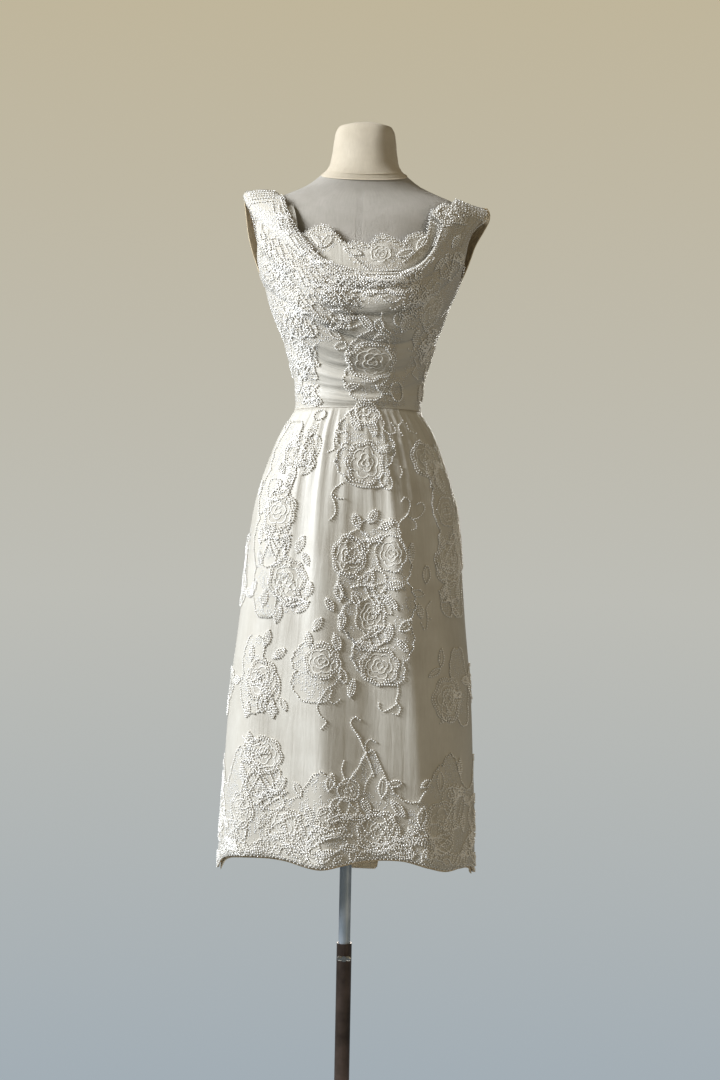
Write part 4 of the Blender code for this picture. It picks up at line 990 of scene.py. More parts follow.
def hem_ground(name, first, node_name):
    """The border from the hem up to soft peaks at the places in the table, with lobes 5 cm across and
    small picots along them."""
    azimuth = np.linspace(first + .3, first + 179.7, 301)
    peaks = np.minimum(sum(tall * hump(azimuth - at, width) for at, width, tall in HEM_PEAKS), 1)
    turn = np.radians(azimuth)
    lobes = .014 * np.abs(np.sin(turn * 11 + .6)) ** .7 + .005 * np.abs(np.sin(turn * 47))
    top = BORDER_Z + PEAK_RISE * peaks + lobes * (.6 + .4 * peaks)
    up = np.linspace(0, 1, 25)[:, None]
    height = hem(azimuth) + .0004 + (top - hem(azimuth)) * up
    across = np.broadcast_to(azimuth, height.shape).copy()
    made = shell(name, across, height, NET_THICKNESS, NET, NET_LIFT, 1.0)
    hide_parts(node_name)
    outlines.append((node_name.replace("lace_", ""), azimuth, height[-1]))
    return made


outlines = []  # region, azimuths and heights of each ground's edge, for a row of pearls later
grounds = [spray_ground(row) for row in SPRAYS]
grounds.append(hem_ground("net_hem_front", -90, "hem_lace_front"))
grounds.append(hem_ground("net_hem_back", 90, "hem_lace_back"))
print(len(grounds), "pieces of net")

# %% [markdown]
# ## Beaded lace
# The lace was embroidered flat, cut out along its roses and leaves, and sewn on by hand, so each motif
# is placed one by one here too. A motif is drawn in millimetres about its own middle and then laid on
# the dress: its sideways distances become degrees of azimuth and its upward ones become height, and the
# cloth's own function lifts it along the folds. Projecting flat meshes on the folded panels would also
# work, but it stretches them where the panel turns away.


# %% Where the camera sees a place
PICTURE_HEIGHT, FOCAL_PX, CAMERA_ROLL = 1080, 1588, 1.1  # pixels, pixels and degrees
CAMERA_X, CAMERA_AWAY, CAMERA_Z = .0136, 2.7, 1.0948
METRES_PER_PX, POLE_PX, HEM_PX, FLOOR_PX, ROLL_SLOPE = .0017, 345.8, 862, 1184, .0192  # at the pole's depth


def seen_at(px, py):
    """Azimuth and height of the dress at a pixel of the 720 x 1080 picture. The depth of the place is
    first guessed and then read again from the surface at the place that the guess gives, ten times."""
    px, py = np.asarray(px, float), np.asarray(py, float)
    across = (px - POLE_PX - (HEM_PX - py) * ROLL_SLOPE) * METRES_PER_PX - CAMERA_X
    up = (FLOOR_PX - py) * METRES_PER_PX - CAMERA_Z
    depth = np.full(np.broadcast(px, py).shape, .1)
    for _ in range(10):
        nearer = 1 - depth / CAMERA_AWAY
        x, z = CAMERA_X + across * nearer, CAMERA_Z + up * nearer
        amount = slipped(x - .005, z + .010)
        x, z = x - SLIP_OUT * amount, z + SLIP_DOWN * amount
        azimuth = azimuth_at(x, z)
        depth = .5 * depth - .5 * dress_surface(azimuth, z)[..., 1]
    return azimuth, z


def pinned(px, py, turn=0.0):
    """A motif's place from its pixel: azimuth, height and turn in degrees."""
    azimuth, height = seen_at(px, py)
    return float(azimuth), float(height), turn


def steps(azimuth, height):
    """How many metres of cloth lie in one degree of azimuth, and in one metre of height, at a place."""
    along = dress_surface(azimuth + .5, height) - dress_surface(azimuth - .5, height)
    up = dress_surface(azimuth, height + .002) - dress_surface(azimuth, height - .002)
    return np.linalg.norm(along, axis=-1), np.linalg.norm(up, axis=-1) / .004


def laid(place, local):
    """Azimuths and heights of points drawn in millimetres about a motif's middle and turned with it."""
    azimuth, height, turn = place
    cosine, sine = math.cos(math.radians(turn)), math.sin(math.radians(turn))
    u = (local[..., 0] * cosine - local[..., 1] * sine) / 1000
    v = (local[..., 0] * sine + local[..., 1] * cosine) / 1000
    per_degree, per_metre = steps(azimuth, height)
    return np.stack([azimuth + u / per_degree, height + v / per_metre], axis=-1)


print("the camera sees the waist at", [round(float(v), 3) for v in seen_at(356, 409)])

# %% Baskets of lace
REGIONS = ("bodice", "inset", "skirt_front", "skirt_back", "hem_front", "hem_back", "bodice_back")
basket = {region: {"beads": [], "cords": [], "petals": []} for region in REGIONS}
chance = np.random.default_rng(12)
BEAD, SPACING, CORD_STEP = 1.55, 4.1, 3.1  # mm: a bead's radius, from bead to bead, and a cord's step


def spaced(path, spacing, closed=False):
    """Points along a path in millimetres at equal distances, by its running length."""
    if closed:
        path = np.concatenate([path, path[:1]])
    length = np.r_[0, np.cumsum(np.linalg.norm(np.diff(path, axis=0), axis=1))]
    count = max(int(round(length[-1] / spacing)), 2)
    at = np.linspace(0, length[-1], count, endpoint=not closed)
    return np.column_stack([np.interp(at, length, path[:, 0]), np.interp(at, length, path[:, 1])])


def sew_beads(region, place, local, radius=BEAD, lift=1.75):
    """Beads at local places, each a little out of line and out of size, as hand sewing leaves them."""
    local = local + chance.normal(0, .22, local.shape)
    at = laid(place, local)
    size = radius * chance.uniform(.88, 1.12, len(local))
    basket[region]["beads"].append(np.column_stack([at, np.full(len(at), lift), size]))


def sew_cord(region, place, path, half_width=1.1, half_height=.5):
    """A satin cord along a local path, 1.1 mm above the cloth."""
    local = spaced(path, CORD_STEP)
    basket[region]["cords"].append((laid(place, local), half_width, half_height, 1.1))


def sew_petal(region, place, grid, lift, wrap=False):
    """A patch of lace over a local grid, with its own lift at each point."""
    basket[region]["petals"].append((laid(place, grid), lift, wrap))


print("baskets for", REGIONS)


# %% [markdown]
# ## The rose
# Each rose is a lobed disc of lace. Satin cord is couched on it round three rings of petals, closest at
# the heart, and up to two rows of pearls follow its outline. All roses share this recipe; their sizes,
# lobes and turns differ, so no two look stamped.

# %% Rose
def lobed(angle, lobes, phase, depth=.07):
    """The outline's radius at an angle: one, plus a share of the absolute sine for each lobe."""
    return 1 - depth + 2 * depth * np.abs(np.sin(lobes * angle / 2 + phase))


ROSE_RINGS = ((3, .08, .16), (4, .26, .20), (6, .52, .22))  # petals in a ring, where they start, reach


def rose(region, place, half_width, half_height, lobes, rows, satin):
    """A rose of that half width and half height in millimetres, with as many rows of pearls round it.
    Without satin, its middle ring is drawn in pearls."""
    size = np.array([half_width, half_height])
    phase = chance.uniform(0, np.pi)
    share, angle = np.meshgrid(np.linspace(.02, 1, 9), np.arange(40) * 2 * np.pi / 40, indexing="ij")
    around = np.stack([np.cos(angle), np.sin(angle)], -1)
    grid = around * (share * lobed(angle, lobes, phase))[..., None] * size
    petal = .5 + .5 * np.sin(5 * angle + 9 * share + phase)
    lift = np.where(share > .97, .1, .50 + .45 * petal * ease(share, 0, .2) * (1 - ease(share, .8, 1)))
    sew_petal(region, place, grid, lift, wrap=True)
    ring = np.linspace(0, 2 * np.pi, 120, endpoint=False)
    outline = np.column_stack([np.cos(ring), np.sin(ring)]) * lobed(ring, lobes, phase)[:, None]
    for row in range(rows):
        sew_beads(region, place, spaced(outline * (size - 3.9 * row), SPACING + .4 * row, True))
    t = np.linspace(0, 1, 22)
    for count, inner, reach in ROSE_RINGS:
        start = chance.uniform(0, 360)
        for k in range(count):
            turn = np.radians(start + 360 / count * (k + 1.14 * t) + chance.normal(0, 5))
            r = inner + reach * chance.uniform(.75, 1.1) * np.sin(np.pi * t) ** .7
            petal_edge = np.column_stack([r * np.cos(turn), r * np.sin(turn)]) * size
            if count == 4 and not satin:
                sew_beads(region, place, spaced(petal_edge, SPACING), radius=1.3, lift=1.5)
            else:
                sew_cord(region, place, petal_edge)


print("rose ready")


# %% Leaves, rings, scrolls and wandering rows
def leaf(region, place, length, width, rows):
    """A pointed leaf along its own right: its half width is a sine of the share of its length."""
    t, side = np.meshgrid(np.linspace(0, 1, 10), np.linspace(-1, 1, 5), indexing="ij")
    half = width / 2 * np.sin(np.pi * t) ** .8
    grid = np.stack([(t - .5) * length, side * half], -1)
    lift = np.where((np.abs(side) > .9) | (t < .05) | (t > .95), .1, .55 + .35 * (1 - np.abs(side)))
    sew_petal(region, place, grid, lift)
    along = np.linspace(0, 1, 30)
    for row in range(rows if width > 3.4 * rows * 1.6 else 1):
        half = (width / 2 - 3.4 * row) * np.sin(np.pi * along) ** .8
        x = (along - .5) * (length - 6 * row)
        edge = np.concatenate([np.column_stack([x, half]), np.column_stack([x, -half])[::-1]])
        sew_beads(region, place, spaced(edge, SPACING - .2, True))
    vein = np.column_stack([(along - .5) * length * .8, .8 * np.sin(3 * along)])
    sew_cord(region, place, vein, .9, .4)


def ring(region, place, half_width, half_height):
    """A loop of pearls with nothing in it."""
    angle = np.linspace(0, 2 * np.pi, 60, endpoint=False)
    loop = np.column_stack([half_width * np.cos(angle), half_height * np.sin(angle)])
    sew_beads(region, place, spaced(loop, SPACING - .4, True))


def wander(region, place, half_width, half_height, metres):
    """A row of pearls that wanders inside an oval: two sines across and two up, out of step."""
    count = int(metres * 1000 / (SPACING + .3))
    turns = metres * 1000 / (2.2 * math.pi * math.sqrt(half_width * half_height))
    t = np.linspace(0, 2 * np.pi * turns, count * 4)
    a, b, c, d = chance.uniform(0, 2 * np.pi, 4)
    u = half_width * (.60 * np.sin(t + a) + .40 * np.sin(2.62 * t + b))
    v = half_height * (.60 * np.cos(1.13 * t + c) + .40 * np.sin(2.21 * t + d))
    sew_beads(region, place, spaced(np.column_stack([u, v]), SPACING + .3))


def chain(region, points):
    """Pearls on a thread along a cubic through pixels of the picture, 3.9 mm from one to the next."""
    azimuths, heights = seen_at(*np.array(points, float).T)
    first, metres = np.array([azimuths[0], heights[0]]), steps(np.mean(azimuths), np.mean(heights))
    path = (np.column_stack([azimuths, heights]) - first) * metres * 1000
    length = np.r_[0, np.cumsum(np.linalg.norm(np.diff(path, axis=0), axis=1))]
    fine = smooth(np.column_stack([length, path]), np.linspace(0, length[-1], 8 * len(path)))
    local = spaced(fine, 3.9)
    at = first + (local + chance.normal(0, .12, local.shape)) / 1000 / metres
    size = 1.45 * chance.uniform(.9, 1.1, len(at))
    basket[region]["beads"].append(np.column_stack([at, np.full(len(at), 1.4), size]))
    basket[region]["cords"].append((at, .45, .35, .3))


def along_cloth(azimuths, heights):
    """Running length in millimetres, measured on the cloth, at each point of a line."""
    points = dress_surface(azimuths, heights)
    return np.r_[0, np.cumsum(np.linalg.norm(np.diff(points, axis=0), axis=1))] * 1000


def edging(region, azimuths, heights, pitch=6.4, reach=2.7, side=1, radius=1.15, lift=1.0):
    """Picots: half loops of two to four small pearls, side by side along an edge, bulging to one side.
    Stations are found by the running length of the edge on the cloth."""
    length = along_cloth(azimuths, heights)
    at = np.arange(pitch / 2, length[-1], pitch)
    azimuth, height = np.interp(at, length, azimuths), np.interp(at, length, heights)
    ahead = np.interp(at + 1, length, azimuths) - azimuth, np.interp(at + 1, length, heights) - height
    per_degree, per_metre = steps(azimuth, height)
    turn = np.degrees(np.arctan2(ahead[1] * per_metre, ahead[0] * per_degree))
    angle = np.linspace(-.25, np.pi - .25, 20)
    loop = np.column_stack([np.cos(angle) * (pitch / 2 + .1), side * np.sin(angle) * reach])
    loop = spaced(loop, 2.45 * radius)[:-1]
    for k in range(len(at)):
        sew_beads(region, (azimuth[k], height[k], turn[k]), loop * chance.uniform(.85, 1.15), radius, lift)


def row_of_pearls(region, azimuths, heights, spacing=4.1, radius=1.5, lift=1.7):
    """Pearls at equal distances along any line on the cloth."""
    length = along_cloth(azimuths, heights)
    at = np.arange(spacing / 2, length[-1], spacing)
    at = at + chance.normal(0, .25, len(at))
    basket[region]["beads"].append(np.column_stack([
        np.interp(at, length, azimuths), np.interp(at, length, heights) + chance.normal(0, .00025, len(at)),
        np.full(len(at), lift), radius * chance.uniform(.88, 1.12, len(at))]))


print("leaf, ring, wander, chain and edging ready")

# %% [markdown]
# ## Placing the lace on the front
# The tables say where the camera sees each motif, in pixels of its picture, and how large it really is
# in millimetres. Roses stand in a column down the centre and in two more over the hips; leaves fill
# between them; single chains of pearls curl out over the bare silk.

# %% Roses on the front
FRONT_ROSES = {  # by region: pixel, half width and height in mm, lobes, rows of pearls, satin
    "bodice": [
        (373, 361, 37, 31, 7, 2, True), (350, 279, 17, 15, 5, 1, True), (300, 352, 26, 26, 6, 1, False),
        (430, 308, 24, 30, 6, 2, False), (428, 362, 22, 28, 5, 2, False), (447, 214, 22, 18, 5, 2, True),
        (290, 300, 24, 22, 5, 1, False), (366, 414, 22, 20, 6, 2, False)],
    "skirt_front": [
        (366, 463, 29, 35, 7, 2, True), (348, 556, 27, 33, 6, 2, True), (391, 553, 24, 29, 6, 1, True),
        (371, 616, 23, 31, 6, 1, True), (380, 666, 30, 29, 7, 2, True), (322, 662, 28, 27, 6, 2, True),
        (299, 452, 26, 28, 6, 2, False), (279, 512, 30, 33, 7, 2, True), (286, 580, 31, 34, 7, 2, True),
        (262, 682, 28, 33, 6, 2, True), (425, 459, 26, 31, 6, 2, True), (449, 562, 32, 38, 7, 2, False),
        (448, 697, 30, 34, 6, 2, True), (446, 510, 22, 24, 6, 1, False)],
    "hem_front": [
        (264, 757, 30, 30, 7, 2, True), (284, 829, 32, 32, 7, 2, True), (379, 832, 33, 34, 7, 2, True),
        (440, 823, 31, 37, 6, 2, False), (243, 812, 24, 28, 6, 2, False), (330, 822, 24, 26, 6, 2, False),
        (349, 790, 19, 17, 5, 1, False)]}
for region, roses in FRONT_ROSES.items():
    for px, py, *shape in roses:
        rose(region, pinned(px, py), *shape)
rose("inset", pinned(381, 252), 24, 22, 6, 0, True)
INSET_LEAVES = (  # beside its rose: pixel, length in mm, direction
    (314, 239, 34, 120), (326, 240, 30, 60), (304, 243, 26, 150), (352, 250, 30, 160), (406, 251, 30, 25),
    (423, 240, 28, 60))
for px, py, length, direction in INSET_LEAVES:
    leaf("inset", pinned(px, py, direction), length, 13, 1)
print(sum(map(len, FRONT_ROSES.values())) + 1, "roses on the front")

# %% Leaves on the front
FRONT_LEAVES = {  # by region: pixel, length and width in mm, direction in degrees, rows of pearls
    "bodice": [
        (384, 389, 30, 13, -20, 2), (352, 387, 22, 10, 200, 1), (345, 314, 30, 14, 120, 2),
        (367, 322, 34, 12, -50, 2), (404, 322, 26, 15, 80, 2), (380, 336, 22, 10, 20, 1),
        (395, 290, 30, 13, 160, 2), (372, 290, 26, 14, 30, 2), (330, 296, 30, 13, 130, 2),
        (322, 318, 28, 12, 150, 2), (415, 282, 28, 14, 60, 2), (310, 330, 26, 12, 120, 1),
        (335, 334, 26, 10, -40, 1), (318, 278, 30, 11, -45, 1), (415, 335, 26, 12, 95, 2),
        (301, 385, 28, 12, 75, 2), (316, 400, 24, 11, 100, 1), (291, 372, 26, 12, 110, 1),
        (418, 392, 26, 11, 80, 2), (455, 240, 28, 12, 70, 2), (440, 262, 30, 12, 60, 2),
        (281, 262, 26, 11, -60, 1), (275, 318, 26, 11, 90, 1), (283, 335, 26, 11, 75, 1)],
    "skirt_front": [
        (355, 424, 26, 12, 130, 2), (373, 428, 28, 12, 100, 2), (386, 449, 24, 11, 20, 2),
        (348, 447, 22, 11, 160, 1), (357, 521, 26, 13, 110, 2), (373, 516, 26, 13, 60, 2),
        (386, 525, 24, 11, 20, 2), (411, 552, 34, 11, 85, 2), (370, 578, 30, 14, 80, 2),
        (395, 585, 28, 13, 10, 2), (391, 602, 28, 11, -55, 2), (405, 625, 26, 15, 40, 3),
        (402, 645, 26, 11, -50, 2), (389, 632, 30, 12, 80, 2), (367, 646, 26, 12, 150, 2),
        (339, 592, 32, 14, 100, 2), (342, 622, 30, 12, 80, 2), (337, 642, 28, 13, 110, 2),
        (356, 600, 24, 9, -60, 1), (352, 688, 30, 12, 80, 2), (343, 676, 26, 11, -70, 1),
        (309, 640, 26, 12, 100, 2), (427, 573, 30, 14, 85, 3), (418, 592, 24, 12, 170, 3),
        (441, 656, 30, 10, 85, 2), (435, 671, 26, 10, 30, 2), (439, 484, 28, 12, -60, 2),
        (443, 590, 28, 12, 60, 2), (312, 432, 28, 12, 60, 2), (288, 428, 24, 11, 110, 1),
        (291, 480, 30, 13, 70, 2), (262, 538, 26, 11, 95, 2), (300, 545, 30, 13, 70, 2),
        (266, 600, 28, 12, 85, 2), (303, 608, 28, 11, 40, 2), (278, 615, 30, 13, 80, 2),
        (302, 575, 28, 12, -40, 2), (268, 640, 28, 12, 80, 2), (279, 655, 26, 12, 40, 2),
        (254, 655, 26, 11, 95, 2), (272, 712, 26, 11, -80, 2), (283, 706, 22, 10, -60, 1),
        (250, 712, 26, 11, -95, 2), (262, 490, 26, 11, 100, 2), (456, 590, 26, 12, 90, 2),
        (453, 530, 26, 12, 95, 2), (262, 560, 26, 12, 120, 2), (255, 590, 26, 12, 60, 2),
        (310, 590, 26, 11, 80, 2), (306, 560, 24, 11, 120, 2), (283, 470, 24, 11, 130, 2),
        (308, 470, 26, 11, 50, 1), (420, 610, 24, 11, 100, 2), (441, 540, 26, 12, 120, 2),
        (330, 605, 24, 11, 120, 2), (318, 625, 24, 11, 60, 2)],
    "hem_front": [
        (331, 782, 28, 13, 80, 3), (383, 787, 34, 14, 85, 3), (398, 808, 34, 13, -50, 2),
        (395, 783, 22, 10, 10, 2), (420, 815, 32, 14, 80, 3), (424, 782, 20, 9, 30, 2),
        (440, 780, 34, 14, 90, 3), (455, 792, 32, 13, 80, 2), (408, 835, 30, 13, 60, 2),
        (432, 852, 30, 13, 20, 3), (405, 854, 32, 12, 5, 2), (366, 806, 26, 12, 120, 2),
        (310, 815, 30, 13, 110, 2), (305, 845, 28, 12, 30, 2), (350, 848, 30, 12, 170, 2),
        (327, 853, 28, 11, 10, 2), (246, 775, 30, 12, 100, 2), (280, 786, 30, 13, 60, 2),
        (262, 792, 30, 13, 95, 2), (252, 742, 28, 12, 95, 2), (236, 848, 28, 12, 170, 2),
        (258, 852, 28, 12, 10, 2), (262, 822, 26, 12, 70, 2), (462, 820, 30, 12, 90, 2),
        (463, 848, 26, 12, 60, 2), (298, 790, 24, 11, 120, 1), (459, 765, 28, 12, 90, 2)]}
for region, leaves in FRONT_LEAVES.items():
    for px, py, length, width, direction, rows in leaves:
        leaf(region, pinned(px, py, direction), length, width, rows)
print(sum(map(len, FRONT_LEAVES.values())), "leaves on the front")

# %% Chains, rings and wandering rows on the front
FRONT_CHAINS = [  # region and the pixels that a chain goes through
    ("skirt_front", (346, 432), (338, 434), (334, 440), (334, 450), (328, 453)),
    ("skirt_front", (343, 483), (336, 488), (332, 494), (335, 505), (335, 515), (330, 521)),
    ("skirt_front", (332, 494), (338, 499), (344, 499)),
    ("skirt_front", (401, 501), (404, 497), (409, 500), (409, 509), (406, 515), (400, 521), (397, 530),
     (400, 538)),
    ("skirt_front", (407, 514), (414, 518), (421, 514), (425, 507), (422, 501), (417, 503)),
    ("skirt_front", (409, 516), (415, 521), (416, 527), (411, 529)),
    ("skirt_front", (391, 423), (395, 428), (395, 432), (390, 434)),
    ("skirt_front", (402, 420), (398, 428), (402, 435)),
    ("skirt_front", (406, 423), (408, 429), (415, 433)),
    ("skirt_front", (400, 466), (402, 471), (400, 477)),
    ("skirt_front", (397, 683), (398, 692), (396, 701), (400, 707), (397, 714), (393, 713)),
    ("skirt_front", (396, 703), (390, 708), (384, 711), (379, 707), (379, 703)),
    ("skirt_front", (361, 738), (353, 729), (351, 721), (356, 717), (360, 720)),
    ("skirt_front", (327, 690), (322, 698), (318, 706), (321, 716), (327, 722), (322, 729)),
    ("skirt_front", (431, 600), (427, 606), (428, 617), (427, 627)),
    ("skirt_front", (428, 614), (431, 617)), ("skirt_front", (421, 622), (424, 628)),
    ("skirt_front", (340, 700), (334, 704), (330, 700)),
    ("hem_front", (353, 728), (360, 740), (366, 754), (371, 766), (374, 776)),
    ("hem_front", (366, 754), (366, 744), (371, 739), (376, 742)),
    ("hem_front", (344, 761), (342, 770), (345, 780)), ("hem_front", (372, 774), (366, 784), (364, 794)),
    ("bodice", (414, 341), (412, 347), (416, 352), (413, 357), (416, 364), (411, 372), (416, 378)),
    ("bodice", (382, 312), (381, 320), (385, 327), (390, 331)),
    ("bodice", (377, 322), (381, 328), (377, 333)),
    ("bodice", (300, 236), (308, 247), (318, 257), (330, 264), (344, 268), (360, 270), (380, 271),
     (400, 270)),
    ("inset", (345, 245), (352, 254), (360, 262), (368, 268)),
    ("inset", (428, 232), (422, 243), (414, 252), (404, 260)),
    ("bodice", (433, 222), (440, 226), (450, 225)),
    ("bodice", (288, 246), (297, 257), (308, 267), (322, 277), (335, 284))]
for region, *points in FRONT_CHAINS:
    chain(region, points)
RINGS = [
    ("bodice", 396, 391, 11, 16), ("skirt_front", 386, 481, 9, 14), ("bodice", 399, 318, 9, 11),
    ("bodice", 379, 324, 7, 9), ("bodice", 312, 300, 9, 8), ("bodice", 360, 287, 8, 7),
    ("skirt_front", 364, 411, 12, 9), ("skirt_front", 320, 416, 10, 9), ("bodice", 341, 345, 9, 6)]
for region, px, py, half_width, half_height in RINGS:
    ring(region, pinned(px, py, 15.0), half_width, half_height)
WANDERS = {  # dense rows: pixel, half width and height in mm, metres of pearls
    "bodice": [
        (380, 283, 44, 16, 1.0), (335, 290, 34, 24, 1.0), (300, 318, 34, 34, 1.4), (345, 318, 26, 18, .6),
        (415, 300, 26, 30, .9), (285, 275, 26, 26, .8), (306, 362, 28, 34, 1.2), (312, 398, 22, 20, .6),
        (425, 345, 22, 34, .9), (422, 388, 20, 24, .5), (315, 262, 30, 16, .5), (452, 262, 22, 30, .7),
        (285, 225, 12, 26, .4), (452, 214, 26, 20, .5), (405, 278, 24, 18, .5)],
    "skirt_front": [
        (302, 450, 32, 34, .7), (276, 545, 30, 40, .8), (276, 500, 30, 34, .6), (290, 595, 32, 34, .7),
        (372, 590, 34, 40, .7), (372, 640, 30, 24, .5), (450, 560, 34, 48, 1.1), (450, 600, 26, 26, .5),
        (366, 545, 30, 30, .5), (436, 470, 24, 30, .6), (264, 690, 28, 40, .7), (452, 700, 26, 34, .6)],
    "hem_front": [
        (262, 790, 44, 44, 1.3), (290, 835, 40, 34, .9), (325, 838, 40, 26, .8), (390, 835, 50, 34, 1.2),
        (432, 838, 44, 30, 1.0), (455, 800, 30, 44, 1.0), (236, 840, 30, 32, .9), (345, 812, 34, 24, .6),
        (256, 752, 28, 22, .5)]}
for region, rows in WANDERS.items():
    for px, py, half_width, half_height, metres in rows:
        wander(region, pinned(px, py), half_width, half_height, metres)
count = sum(map(len, WANDERS.values()))
print(len(FRONT_CHAINS), "chains,", len(RINGS), "rings,", count, "wandering rows")

# %% Edges of the neckline, straps and hem
across = np.linspace(STRAP_COLUMNS + .004, 1 - STRAP_COLUMNS - .004, 400)
neck_azimuth, neck_z = top_edge(across).T
on_left, on_right = across < .36, across > .70
for part in (on_left, on_right):  # deep scallops on the straps' inner edges
    edging("bodice", neck_azimuth[part], neck_z[part] - .0015, pitch=11.0, reach=4.6, radius=1.3)
    edging("bodice", neck_azimuth[part], neck_z[part] - .0020, pitch=6.0, reach=2.0, radius=1.1, lift=1.2)
row_of_pearls("bodice", neck_azimuth, neck_z - .0045, spacing=4.4, lift=1.5)
inset_x = np.linspace(-.100, .132, 300)
inset_z = inset_top(inset_x)
inset_azimuth = azimuth_at(inset_x, inset_z)
edging("inset", inset_azimuth, inset_z - .0010, reach=2.2, lift=.7)
edging("inset", inset_azimuth, inset_z - .0060, side=-1, radius=1.2)
for first, region in ((-90, "hem_front"), (90, "hem_back")):
    hem_azimuth = np.linspace(first + 1.2, first + 178.8, 400)
    edging(region, hem_azimuth, hem(hem_azimuth) + .0022, side=-1, reach=2.2)
    for k in range(46):  # small leaves along the hem, pointing up to one side or the other
        azimuth = first + 3 + 174 * (k + chance.uniform(.1, .9)) / 46
        leaf(region, (azimuth, float(hem(azimuth)) + chance.uniform(.010, .022), chance.uniform(15, 165)),
             chance.uniform(15, 24), chance.uniform(8, 11), 1)
for side in (-1, 1):  # rows over the straps and down the front of the armholes
    for z in (1.676, 1.671, 1.666, 1.660, 1.653):
        x = side * np.arange(.150, .195 if z > 1.665 else .190, .0043) + chance.normal(0, .0004)
        basket["bodice"]["beads"].append(np.column_stack(
            [azimuth_at(x + LEAN * (z - LEAN_FROM_Z), z), np.full(len(x), z), np.full(len(x), 1.5),
             1.35 * chance.uniform(.88, 1.12, len(x))]))
    z = np.linspace(UNDERARM_Z + .004, 1.655, 160)
    edging("bodice", side_edge(side, z) - side * 1.0, z, side=-side, radius=1.0, reach=2.2, lift=.8)
for region, azimuths, heights in outlines:
    row_of_pearls(region, azimuths, heights)
FOLD_ROWS = [  # roll, share of the way down it, where it starts and ends across the front
    (0, .22, .20, .52), (0, .42, .16, .70), (0, .62, .22, .48), (0, .64, .58, .76), (0, .82, .30, .66),
    (1, .10, .20, .50), (1, .26, .14, .44), (1, .42, .12, .56), (1, .58, .16, .40), (1, .74, .14, .52),
    (1, .30, .60, .80), (1, .55, .62, .84), (1, .80, .64, .82), (2, .12, .16, .46), (2, .30, .12, .40),
    (2, .46, .18, .44), (2, .62, .12, .38), (2, .80, .16, .42), (2, .30, .68, .86), (2, .60, .70, .88),
    (3, .15, .14, .34), (3, .35, .10, .30), (3, .55, .12, .32), (3, .75, .10, .28), (3, .30, .74, .88),
    (3, .62, .76, .90), (4, .30, .10, .24), (4, .65, .08, .22), (5, .40, .12, .26)]
for roll, down, start, end in FOLD_ROWS:
    way = np.linspace(start, end, 120)
    upper, lower = (np.column_stack([np.interp(way, ACROSS, line[:, 0]), np.interp(way, ACROSS, line[:, 1])])
                    for line in LINES[roll:roll + 2])
    wave = down + .06 * np.sin(way * 2 * np.pi / chance.uniform(.035, .06) + chance.uniform(0, 6))
    line = upper + (lower - upper) * wave[:, None]
    row_of_pearls("bodice", line[:, 0], line[:, 1], spacing=4.3, radius=1.45, lift=1.5)
print("pearls in all:", sum(len(rows) for parts in basket.values() for rows in parts["beads"]))

# %% [markdown]
# ## The sides and the back
# The picture shows the front alone. The lace is taken to go round the dress, as it runs off both sides:
# sprays over the hips and down the back, a border at the hem and two clusters on the shoulder blades,
# looser than in front. Each spray is a rose with leaves that point away from it, and a few curling rows.

# %% Lace on the sides and back
BACK_ROSES = {  # azimuth, height, half width and height in mm, lobes, rows of pearls, satin, leaves
    "skirt_back": [
        (176, 1.262, 24, 26, 6, 2, True, 4), (178, 1.192, 20, 23, 5, 1, False, 4),
        (182, 1.052, 30, 32, 7, 2, True, 5), (190, .985, 26, 29, 6, 2, False, 4),
        (180, .918, 28, 30, 6, 2, True, 5), (231, 1.205, 26, 30, 6, 2, True, 4),
        (229, 1.120, 30, 32, 7, 2, False, 4), (226, 1.030, 27, 31, 6, 2, True, 5),
        (127, 1.205, 25, 29, 6, 2, False, 4), (129, 1.115, 30, 33, 7, 2, True, 4),
        (132, 1.028, 28, 30, 6, 2, True, 5), (205, .860, 24, 26, 6, 1, True, 4),
        (152, .850, 26, 27, 6, 1, False, 4), (100, 1.150, 24, 28, 6, 1, True, 3),
        (258, 1.060, 25, 28, 6, 1, True, 3)],
    "skirt_front": [
        (80, 1.080, 24, 30, 6, 1, True, 3), (-80, 1.010, 24, 28, 6, 1, False, 3),
        (84, .860, 24, 28, 6, 1, False, 3), (-82, .850, 24, 26, 6, 1, True, 3)],
    "hem_back": [
        (101, .655, 28, 30, 6, 2, True, 4), (116, .612, 25, 27, 6, 2, False, 3),
        (131, .668, 30, 31, 7, 2, True, 4), (147, .618, 27, 28, 6, 2, False, 3),
        (162, .672, 31, 32, 7, 2, True, 4), (179, .620, 28, 29, 6, 2, True, 3),
        (195, .675, 30, 30, 6, 2, False, 4), (210, .622, 27, 28, 7, 2, True, 3),
        (226, .665, 30, 31, 6, 2, False, 4), (242, .620, 27, 28, 6, 2, True, 3),
        (257, .650, 28, 30, 7, 2, True, 4)],
    "hem_front": [
        (80, .640, 26, 30, 6, 2, True, 3), (-81, .640, 26, 30, 6, 2, False, 3)],
    "bodice_back": [
        (148, 1.480, 26, 27, 6, 2, True, 4), (213, 1.475, 27, 26, 7, 2, True, 4),
        (180, 1.440, 23, 22, 6, 1, False, 4), (126, 1.420, 23, 26, 6, 2, False, 3),
        (235, 1.415, 23, 26, 6, 2, False, 3), (178, 1.352, 22, 22, 6, 1, True, 4),
        (130, 1.560, 20, 26, 5, 1, True, 2), (229, 1.562, 20, 26, 5, 1, True, 2)]}


